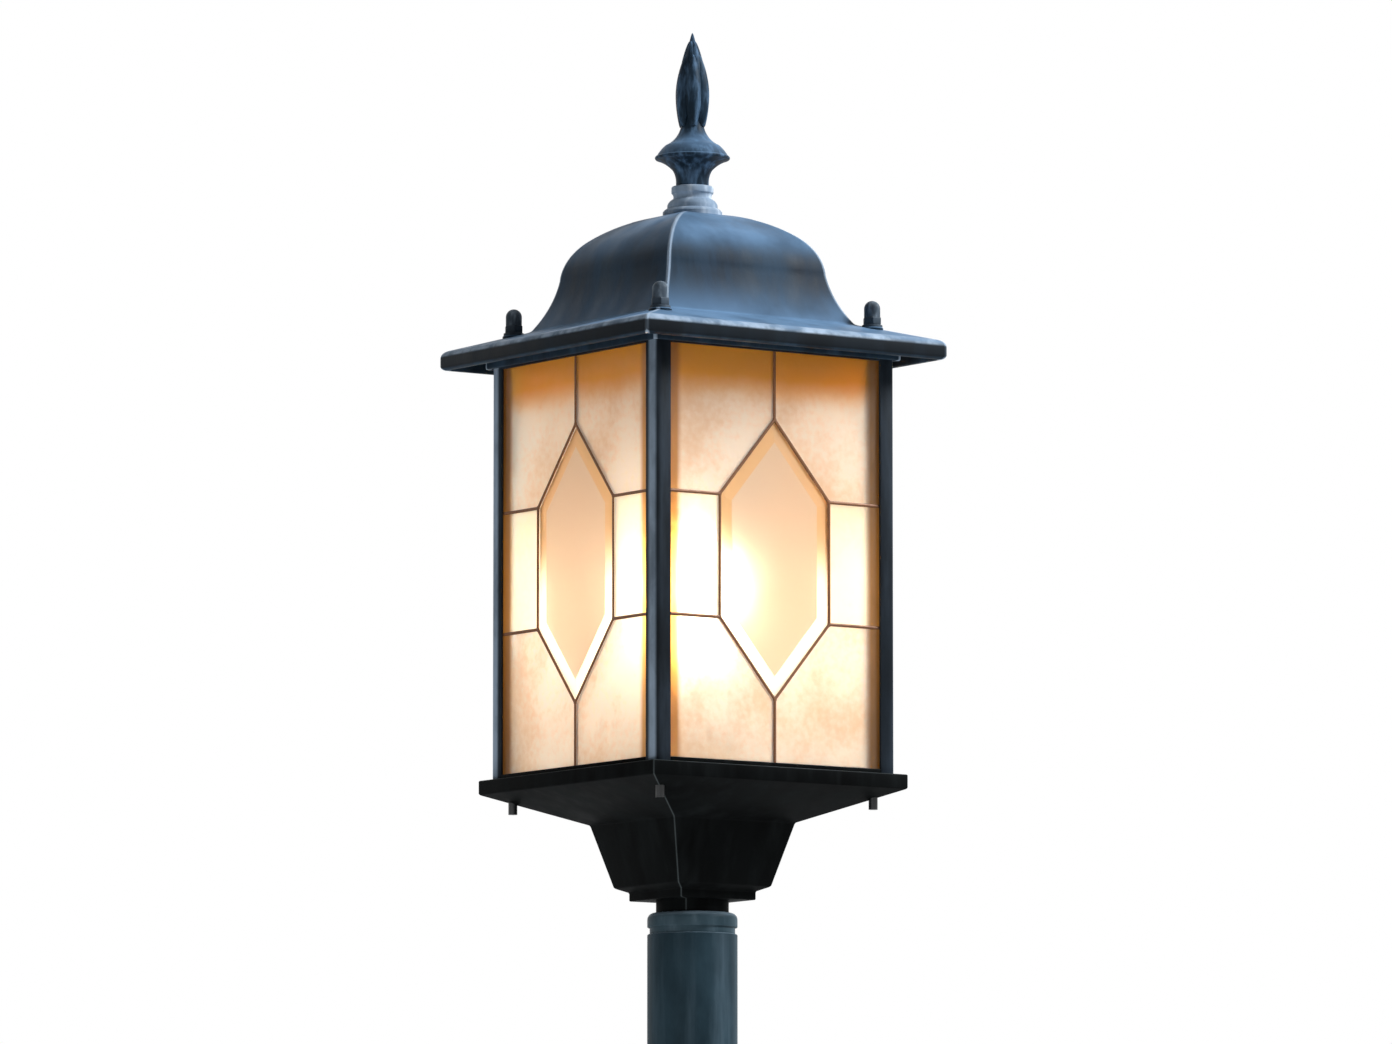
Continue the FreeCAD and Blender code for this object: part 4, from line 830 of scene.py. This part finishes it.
class LANTERN_OT_finial(bpy.types.Operator):
    """Turns the ringed collar and the spire, and closes the leaves round its tip"""
    bl_idname = "lantern.finial"
    bl_label = "Finial"

    def execute(self, context):
        size = context.scene.lantern_finial
        low, high = corners("finial_collar")
        bore = size.stud_radius + size.stud_fit
        base = high.x
        first = low.z + size.collar_height
        second = first + size.tier_height
        third = second + size.waist_height
        profile = [(bore, low.z), (base, low.z), (base, first - size.collar_height * 0.45)]
        profile += arc(profile[-1], (size.tier_radius, first), size.collar_height, 1, 5)
        profile.append((size.tier_radius, first + size.tier_height * 0.35))
        profile += arc(profile[-1], (size.tier_waist, second), size.tier_height * 1.1, 1, 6)
        ring = size.ring_radius
        lip = size.ring_lip
        edge = size.ring_edge
        profile += arc(profile[-1], (ring - lip * 0.75, third), size.waist_height, -1, 6)
        profile += arc(profile[-1], (ring, third + lip), lip, 1, 3)
        profile.append((ring, high.z - edge))
        profile += arc(profile[-1], (ring - edge, high.z), edge, 1, 3)
        profile.append((bore, high.z))
        new_piece("finial_ringed_collar", turned(profile), "roof", "collar_paint", "finial_collar",
                  slot="roof_casting")
        self.spire(size, high.z)
        return {"FINISHED"}

    def spire(self, size, seat):
        low, high = corners("finial_spire")
        neck = seat + size.neck_rise
        cup = neck + size.cup_rise
        brim = cup + size.brim_rise
        bell = brim + size.bell_rise
        bud = bell + size.bud_rise
        brim_radius = high.x
        edge = size.brim_edge
        profile = [(0, low.z), (size.stud_radius, low.z), (size.stud_radius, seat), (size.neck_radius, seat),
                   (size.neck_radius, neck)]
        profile += arc(profile[-1], (size.cup_radius, cup), size.cup_rise * 2, -1, 8)
        profile += arc(profile[-1], (brim_radius - edge, brim - edge), brim_radius, -1, 10)
        profile += arc(profile[-1], (brim_radius - edge, brim + edge), edge, 1, 6)
        profile += arc(profile[-1], (size.bell_radius, bell), brim_radius, 1, 10)
        profile += arc(profile[-1], (size.bud_neck, bud), size.bell_radius, -1, 10)
        tip = high.z - size.tip_drop
        profile += [(size.bud_neck * 0.9, bud + size.core_rise), (size.bud_neck * 0.85, (bud + high.z) / 2)]
        profile += arc(profile[-1], (size.tip_radius, tip - size.tip_edge), size.core_bow, 1, 10)
        profile.append((0, tip))
        core = turned(profile, closed=False)
        height = high.z - bud
        for count, start, reach, offset, width, draw, first in LEAF_RINGS:
            for index in range(count):
                leaf = self.leaf(bud + start * height, bud + reach * height, offset, width, draw)
                turn_about_axis(leaf, first + 360 / count * index)
                join(core, leaf)
        new_piece("finial_leafed_spire", core, "roof", "finial_paint", "finial_spire",
                  slot="roof_casting", limit=40)

    def leaf(self, low, high, offset, width, draw):
        """One leaf with a raised midrib, its tip drawn in towards the axis by the share draw."""
        mesh_data = bmesh.new()
        made = bmesh.ops.create_uvsphere(mesh_data, u_segments=16, v_segments=20, radius=1.0)["verts"]
        for vert in made:
            along = (vert.co.z + 1) / 2
            girth = math.sin(math.pi * min(along * (1 - LEAF_FOOT) + LEAF_FOOT, 1)) ** LEAF_GIRTH
            full = max(math.hypot(vert.co.x, vert.co.y), MERGE_DISTANCE)
            out = vert.co.x / full
            side = vert.co.y / full
            rib = 1 + RIB_HEIGHT * max(out, 0) ** RIB_SHARPNESS
            bow = offset * (1 - draw * max(along - DRAW_START, 0) ** 1.5 / 0.41)
            vert.co.x = bow + out * width * LEAF_FLATNESS * girth * rib
            vert.co.y = side * width * girth
            vert.co.z = low + (high - low) * along
        close(mesh_data)
        return mesh_data


class LANTERN_OT_base(bpy.types.Operator):
    """Casts the neck, the stepped foot, the flared body and the tray"""
    bl_idname = "lantern.base"
    bl_label = "Base casting"

    def execute(self, context):
        size = context.scene.lantern_base
        cage = context.scene.lantern_cage
        low, high = corners("base_bowl")
        tray = corners("floor_plate")[0].z
        slope_top = tray - size.tray_rim
        pyramid_top = slope_top - size.slope_height
        step_top = pyramid_top - size.pyramid_height
        foot_top = step_top - size.step_height
        foot = foot_top - size.foot_height
        wall = size.wall
        hole = size.cable_hole
        edge = size.neck_edge
        rise = (size.opening_half - size.pyramid_half) * size.slope_height / (high.x - size.pyramid_half)
        profile = [
            (hole, foot), (size.foot_half, foot), (size.foot_half, foot_top), (size.step_half, step_top),
            (size.pyramid_half, pyramid_top), (high.x, slope_top), (high.x, tray), (size.opening_half, tray),
            (size.opening_half, pyramid_top + wall + rise), (size.pyramid_half - wall, pyramid_top + wall),
            (size.step_half - wall, step_top + wall / 2), (size.foot_half - wall, foot_top),
            (size.foot_half - wall, foot + wall), (hole, foot + wall),
        ]
        mesh_data = square_cast(profile, size.edge_round, 12)
        neck = turned([(size.neck_bore, low.z), (size.neck_radius - edge, low.z),
                       (size.neck_radius, low.z + edge), (size.neck_radius, foot + wall / 2),
                       (size.neck_bore, foot + wall / 2)])
        join(mesh_data, neck)
        slot_out = corners("corner_post_back_right")[1].x
        reach = slot_out - cage.leg_width - cage.slot_fit
        thickness = cage.leg_thickness
        for angle in SIDES.values():
            sill = bmesh.new()
            made = bmesh.ops.create_cube(sill, size=1.0)["verts"]
            bmesh.ops.scale(sill, vec=(reach * 2, thickness, high.z - tray), verts=made)
            move(sill, (0, -slot_out + thickness / 2, (high.z + tray) / 2))
            round_edges(sill, size.sill_edge, segments=2)
            turn_about_axis(sill, angle)
            join(mesh_data, sill)
        new_piece("base_casting_bowl", mesh_data, "lantern", "base_casting", "base_bowl")
        return {"FINISHED"}


class LANTERN_OT_posts(bpy.types.Operator):
    """Casts the four corner posts with their glass slots"""
    bl_idname = "lantern.posts"
    bl_label = "Corner posts"

    def execute(self, context):
        size = context.scene.lantern_cage
        low, high = corners("corner_post_back_right")
        pane = corners("glass_pane_front")[1].x
        out = high.x
        leg = out - size.leg_width
        slot_out = out - size.leg_thickness
        slot_in = slot_out - size.glass_thickness - 2 * size.slot_fit
        end = pane + size.slot_fit
        section = [(out, leg), (out, out - size.corner_round)]
        section += arc(section[-1], (out - size.corner_round, out), size.corner_round, 1, 8)
        section += [(leg, out), (leg, slot_out), (end, slot_out), (end, slot_in), (low.x, slot_in),
                    (low.x, low.x), (slot_in, low.x), (slot_in, end), (slot_out, end), (slot_out, leg)]
        for name, (x, y) in CORNERS.items():
            mesh_data = bmesh.new()
            verts = [mesh_data.verts.new((px, py, low.z)) for px, py in section]
            face = mesh_data.faces.new(verts)
            raised = bmesh.ops.extrude_face_region(mesh_data, geom=[face])["geom"]
            lifted = [item for item in raised if isinstance(item, bmesh.types.BMVert)]
            move(mesh_data, (0, 0, high.z - low.z), lifted)
            bmesh.ops.recalc_face_normals(mesh_data, faces=mesh_data.faces)
            round_edges(mesh_data, size.edge_round, 40, 2)
            turn_about_axis(mesh_data, math.degrees(math.atan2(y, x)) - 45)
            new_piece(f"corner_casting_{name}", mesh_data, "lantern", "cage_casting", f"corner_post_{name}")
        return {"FINISHED"}


class LANTERN_OT_leading(bpy.types.Operator):
    """Solders the lead lines on both faces of the four panes"""
    bl_idname = "lantern.leading"
    bl_label = "Lead lines"

    def execute(self, context):
        size = context.scene.lantern_cage
        for side, angle in SIDES.items():
            mesh_data = bmesh.new()
            for level, low, high, reach in self.layers(size):
                self.net(mesh_data, size, level, low, high, reach)
            turn_about_axis(mesh_data, angle)
            new_piece(f"lead_came_{side}", mesh_data, "lantern", "leading", f"lead_lines_{side}")
        return {"FINISHED"}

    def layers(self, size):
        """The outer and the inner face of a pane: place, lower end, upper end and half width."""
        post_low, post_high = corners("corner_post_back_right")
        lead_top = corners("lead_lines_front")[1].z
        pane_low, pane_high = corners("glass_pane_front")
        sill = corners("base_bowl")[1].z
        strip = corners("glazing_strips")[1].z
        return [
            (-pane_low.y, sill, lead_top, post_high.x - size.leg_width),
            (-pane_high.y, strip, lead_top, post_low.x),
        ]

    def net(self, mesh_data, size, level, low, high, reach):
        """The lines of one face of a pane: the hexagon and the lines from its points to the frame."""
        middle = level_of("bevel_glass_front")
        shape = ((0, size.hexagon_reach), (size.hexagon_half, size.hexagon_side),
                 (size.hexagon_half, -size.hexagon_side), (0, -size.hexagon_reach),
                 (-size.hexagon_half, -size.hexagon_side), (-size.hexagon_half, size.hexagon_side))
        points = [(x, middle + z) for x, z in shape]
        runs = list(zip(points, points[1:] + points[:1]))
        runs += [(points[0], (0, high)), (points[3], (0, low))]
        runs += [((x, z), (math.copysign(reach, x), z)) for x, z in points if x]
        for start, end in runs:
            self.came(mesh_data, size, level, Vector(start), Vector(end))
        for x, z in points:
            blob = bmesh.ops.create_uvsphere(mesh_data, u_segments=14, v_segments=8,
                                             radius=size.joint_radius)["verts"]
            bmesh.ops.scale(mesh_data, vec=(1, size.lead_height / size.joint_radius * 0.98, 1), verts=blob)
            move(mesh_data, (x, -level, z), blob)

    def came(self, mesh_data, size, level, start, end):
        """A half-round strip from start to end on the pane."""
        run = end - start
        made = bmesh.ops.create_cone(
            mesh_data, cap_ends=True, segments=12, radius1=size.lead_width / 2, radius2=size.lead_width / 2,
            depth=run.length,
        )["verts"]
        bmesh.ops.scale(mesh_data, vec=(1, size.lead_height / (size.lead_width / 2) * 0.97, 1), verts=made)
        tilt = math.atan2(run.x, run.y)
        bmesh.ops.rotate(mesh_data, cent=(0, 0, 0), matrix=Matrix.Rotation(tilt, 3, "Y"), verts=made)
        middle = (start + end) / 2
        move(mesh_data, (middle.x, -level, middle.y), made)


class LANTERN_OT_cap_nuts(bpy.types.Operator):
    """Machines the four domed nuts and their washers"""
    bl_idname = "lantern.cap_nuts"
    bl_label = "Cap nuts"

    def execute(self, context):
        size = context.scene.lantern_nuts
        for name in CORNERS:
            low, high = corners(f"cap_nut_{name}")
            middle = (low + high) / 2
            radius = (high.x - low.x) / 2
            nut = bmesh.new()
            bmesh.ops.create_cone(nut, cap_ends=True, segments=6, radius1=radius, radius2=radius,
                                  depth=size.hex_height)
            turn_about_axis(nut, 30)
            move(nut, (0, 0, low.z + size.hex_height / 2))
            round_edges(nut, size.chamfer, 40, 3)
            dome_low = low.z + size.hex_height - size.dome_sink
            shoulder = high.z - size.dome_radius
            profile = [(0, dome_low), (size.dome_radius, dome_low), (size.dome_radius, shoulder)]
            profile += arc(profile[-1], (0, high.z), size.dome_radius * 1.00001, 1, 12)
            join(nut, turned(profile, 40, closed=False))
            move(nut, (middle.x, middle.y, 0))
            new_piece(f"domed_nut_{name}", nut, f"nut_{name}", "nut_finish", f"cap_nut_{name}")
            self.washer(size, name, middle)
        return {"FINISHED"}

    def washer(self, size, name, middle):
        low, high = corners(f"cap_washer_{name}")
        radius = (high.x - low.x) / 2
        edge = size.washer_edge
        bore = size.washer_bore
        profile = [(bore, low.z), (radius, low.z), (radius, high.z - edge)]
        profile += arc(profile[-1], (radius - edge, high.z), edge, 1, 3)
        profile.append((bore, high.z))
        washer = turned(profile, 48)
        move(washer, (middle.x, middle.y, 0))
        new_piece(f"nut_washer_{name}", washer, f"washer_{name}", "nut_finish", f"cap_washer_{name}")


class LANTERN_OT_post(bpy.types.Operator):
    """Turns the post's upper end and the collar"""
    bl_idname = "lantern.post"
    bl_label = "Post and collar"

    def execute(self, context):
        sleeve_low, sleeve_high = corners("post_sleeve")
        collar_low, collar_high = corners("post_collar")
        size = context.scene.lantern_post
        radius = sleeve_high.x
        bore = radius - size.wall
        seat_radius = bore + size.seat_depth
        seat_low = sleeve_high.z - size.seat_length
        edge = size.sleeve_edge
        profile = [(bore, sleeve_low.z), (radius - edge, sleeve_low.z)]
        profile += arc(profile[-1], (radius, sleeve_low.z + edge), edge, 1, 3)
        profile.append((radius, sleeve_high.z - edge))
        profile += arc(profile[-1], (radius - edge, sleeve_high.z), edge, 1, 3)
        profile += [(seat_radius, sleeve_high.z), (seat_radius, seat_low), (bore, seat_low)]
        new_piece("post_tube", turned(profile), "post", "post_paint", "post_sleeve")
        groove = radius - size.groove_depth
        rim = sleeve_high.z + size.groove_height
        plug = seat_radius - size.plug_fit
        lip_top = collar_low.z + size.lip_height
        edge = size.rim_edge
        profile = [(size.lip_radius, collar_low.z), (plug, collar_low.z), (plug, sleeve_high.z),
                   (groove, sleeve_high.z), (groove, rim), (radius - edge, rim)]
        profile += arc(profile[-1], (radius, rim + edge), edge, 1, 3)
        profile.append((radius, collar_high.z - size.rim_round))
        profile += arc(profile[-1], (radius - size.rim_round, collar_high.z), size.rim_round, 1, 8)
        profile += [(size.neck_bore, collar_high.z), (size.neck_bore, lip_top), (size.lip_radius, lip_top)]
        new_piece("post_ring", turned(profile), "post", "rim_paint", "post_collar", slot="post_paint")
        return {"FINISHED"}


class LANTERN_OT_lamp(bpy.types.Operator):
    """Blows the lamp's glass and rolls the thread of its cap"""
    bl_idname = "lantern.lamp"
    bl_label = "Lamp"

    def execute(self, context):
        size = context.scene.lantern_lamp
        low, high = corners("bulb_glass")
        cap_low, cap_high = corners("bulb_cap")
        radius = high.x
        globe = high.z - radius
        leg = radius * math.sqrt(0.5)
        profile = [(0, low.z), (size.neck_radius, low.z), (size.neck_radius, cap_high.z + size.neck_rise)]
        profile += arc(profile[-1], (leg, globe - leg), radius * 1.3, -1, 12)
        profile += arc(profile[-1], (0, high.z), radius, 1, 28)
        new_piece("lamp_globe", turned(profile, 64, closed=False), "lamp", "lamp_glass", "bulb_glass")
        crest = cap_high.x
        root = crest - size.thread_depth
        pitch = (cap_high.z - cap_low.z) / (size.turns + 1)
        profile = [(0, cap_low.z), (root, cap_low.z)]
        for index in range(size.turns):
            start = cap_low.z + pitch * (index + 0.5)
            profile += [(root, start), (crest, start + pitch * 0.5), (root, start + pitch)]
        profile += [(crest, cap_high.z), (0, cap_high.z)]
        new_piece("lamp_cap", turned(profile, 64, closed=False), "lamp", "brass", "bulb_cap", limit=50)
        return {"FINISHED"}


# Stage

class LANTERN_OT_stage(bpy.types.Operator):
    """Sets the camera, the soft lights, the white surroundings and the pale floor"""
    bl_idname = "lantern.stage"
    bl_label = "Stage"

    def execute(self, context):
        stage = context.scene.lantern_stage
        scene = context.scene
        scene.view_settings.view_transform = "Standard"
        self.camera(scene, stage)
        for name, place, width, light in STAGE_LAMPS:
            self.lamp(scene, f"{name}_light", Vector(place), width, getattr(stage, f"{name}_power"), light)
        self.surroundings(scene, stage)
        self.floor(scene, stage)
        return {"FINISHED"}

    def camera(self, scene, stage):
        turn = math.radians(stage.azimuth)
        eye = Vector((math.sin(turn) * stage.distance, -math.cos(turn) * stage.distance, stage.eye_height))
        right = Vector((math.cos(turn), math.sin(turn), 0))
        aim = Vector((0, 0, stage.aim_height)) + right * stage.aim_side
        data = bpy.data.cameras.new("camera")
        data.lens = stage.lens
        data.sensor_width = SENSOR_WIDTH
        data.clip_end = VIEW_REACH
        camera = bpy.data.objects.new("camera", data)
        camera.location = eye
        camera.rotation_euler = (aim - eye).to_track_quat("-Z", "Y").to_euler()
        scene.collection.objects.link(camera)
        scene.camera = camera

    def lamp(self, scene, name, place, size, power, light):
        data = bpy.data.lights.new(name, "AREA")
        data.size = size
        data.energy = power
        data.color = light
        lamp = bpy.data.objects.new(name, data)
        lamp.location = place
        lamp.rotation_euler = (LAMPS_AIM - place).to_track_quat("-Z", "Y").to_euler()
        scene.collection.objects.link(lamp)

    def surroundings(self, scene, stage):
        world = bpy.data.worlds.new("surroundings")
        world.use_nodes = True
        scene.world = world
        tree = world.node_tree
        soft = tree.nodes["Background"]
        soft.inputs["Color"].default_value = SKY
        soft.inputs["Strength"].default_value = stage.ambient
        white = tree.nodes.new("ShaderNodeBackground")
        white.inputs["Color"].default_value = WHITE
        white.inputs["Strength"].default_value = 1.0
        choice = tree.nodes.new("ShaderNodeMixShader")
        tree.links.new(self.seen(tree), choice.inputs[0])
        tree.links.new(soft.outputs[0], choice.inputs[1])
        tree.links.new(white.outputs[0], choice.inputs[2])
        tree.links.new(choice.outputs[0], tree.nodes["World Output"].inputs["Surface"])

    def seen(self, tree):
        """1 where the camera sees the background, also through glass and mirrored in metal."""
        path = tree.nodes.new("ShaderNodeLightPath").outputs
        direct = calculate(tree, "MAXIMUM", path["Is Camera Ray"], path["Is Transmission Ray"])
        return calculate(tree, "MAXIMUM", direct, path["Is Glossy Ray"])

    def floor(self, scene, stage):
        mesh_data = bmesh.new()
        bmesh.ops.create_grid(mesh_data, x_segments=1, y_segments=1, size=stage.floor_half)
        mesh = bpy.data.meshes.new("pale_floor")
        mesh_data.to_mesh(mesh)
        mesh_data.free()
        floor = bpy.data.objects.new("pale_floor", mesh)
        floor.location = (0, 0, -stage.floor_depth)
        scene.collection.objects.link(floor)
        tree, shader = start_material("pale_floor")
        shader.inputs["Base Color"].default_value = FLOOR_COLOUR
        shader.inputs["Roughness"].default_value = 0.8
        shader.inputs["Emission Color"].default_value = WHITE
        tree.links.new(times(tree, self.seen(tree), stage.floor_light), shader.inputs["Emission Strength"])
        mesh.materials.append(finish("pale_floor"))


class LANTERN_PT_panel(bpy.types.Panel):
    """Lists the lantern's pieces"""
    bl_idname = "LANTERN_PT_panel"
    bl_label = "Post Top Lantern"
    bl_space_type = "VIEW_3D"
    bl_region_type = "UI"
    bl_category = "Lantern"

    def draw(self, context):
        for operator in OPERATORS:
            self.layout.operator(operator.bl_idname)
        for name in GROUPS:
            box = self.layout.box()
            group = getattr(context.scene, name)
            for prop in type(group).__annotations__:
                box.prop(group, prop)


GROUPS = {
    "lantern_roof": LanternRoofSizes,
    "lantern_base": LanternBaseSizes,
    "lantern_cage": LanternCageSizes,
    "lantern_finial": LanternFinialSizes,
    "lantern_nuts": LanternNutSizes,
    "lantern_post": LanternPostSizes,
    "lantern_lamp": LanternLampSizes,
    "lantern_stage": LanternStageSettings,
    "lantern_colours": LanternColours,
}
OPERATORS = (
    LANTERN_OT_finishes,
    LANTERN_OT_roof,
    LANTERN_OT_finial,
    LANTERN_OT_base,
    LANTERN_OT_posts,
    LANTERN_OT_leading,
    LANTERN_OT_cap_nuts,
    LANTERN_OT_post,
    LANTERN_OT_lamp,
    LANTERN_OT_stage,
)


def register():
    for name, group in GROUPS.items():
        bpy.utils.register_class(group)
        setattr(bpy.types.Scene, name, PointerProperty(type=group))
    for operator in OPERATORS:
        bpy.utils.register_class(operator)
    bpy.utils.register_class(LANTERN_PT_panel)


def unregister():
    bpy.utils.unregister_class(LANTERN_PT_panel)
    for operator in reversed(OPERATORS):
        bpy.utils.unregister_class(operator)
    for name, group in GROUPS.items():
        delattr(bpy.types.Scene, name)
        bpy.utils.unregister_class(group)


def main():
    register()
    for operator in OPERATORS:
        category, name = operator.bl_idname.split(".")
        getattr(getattr(bpy.ops, category), name)()


if __name__ == "__main__":
    main()
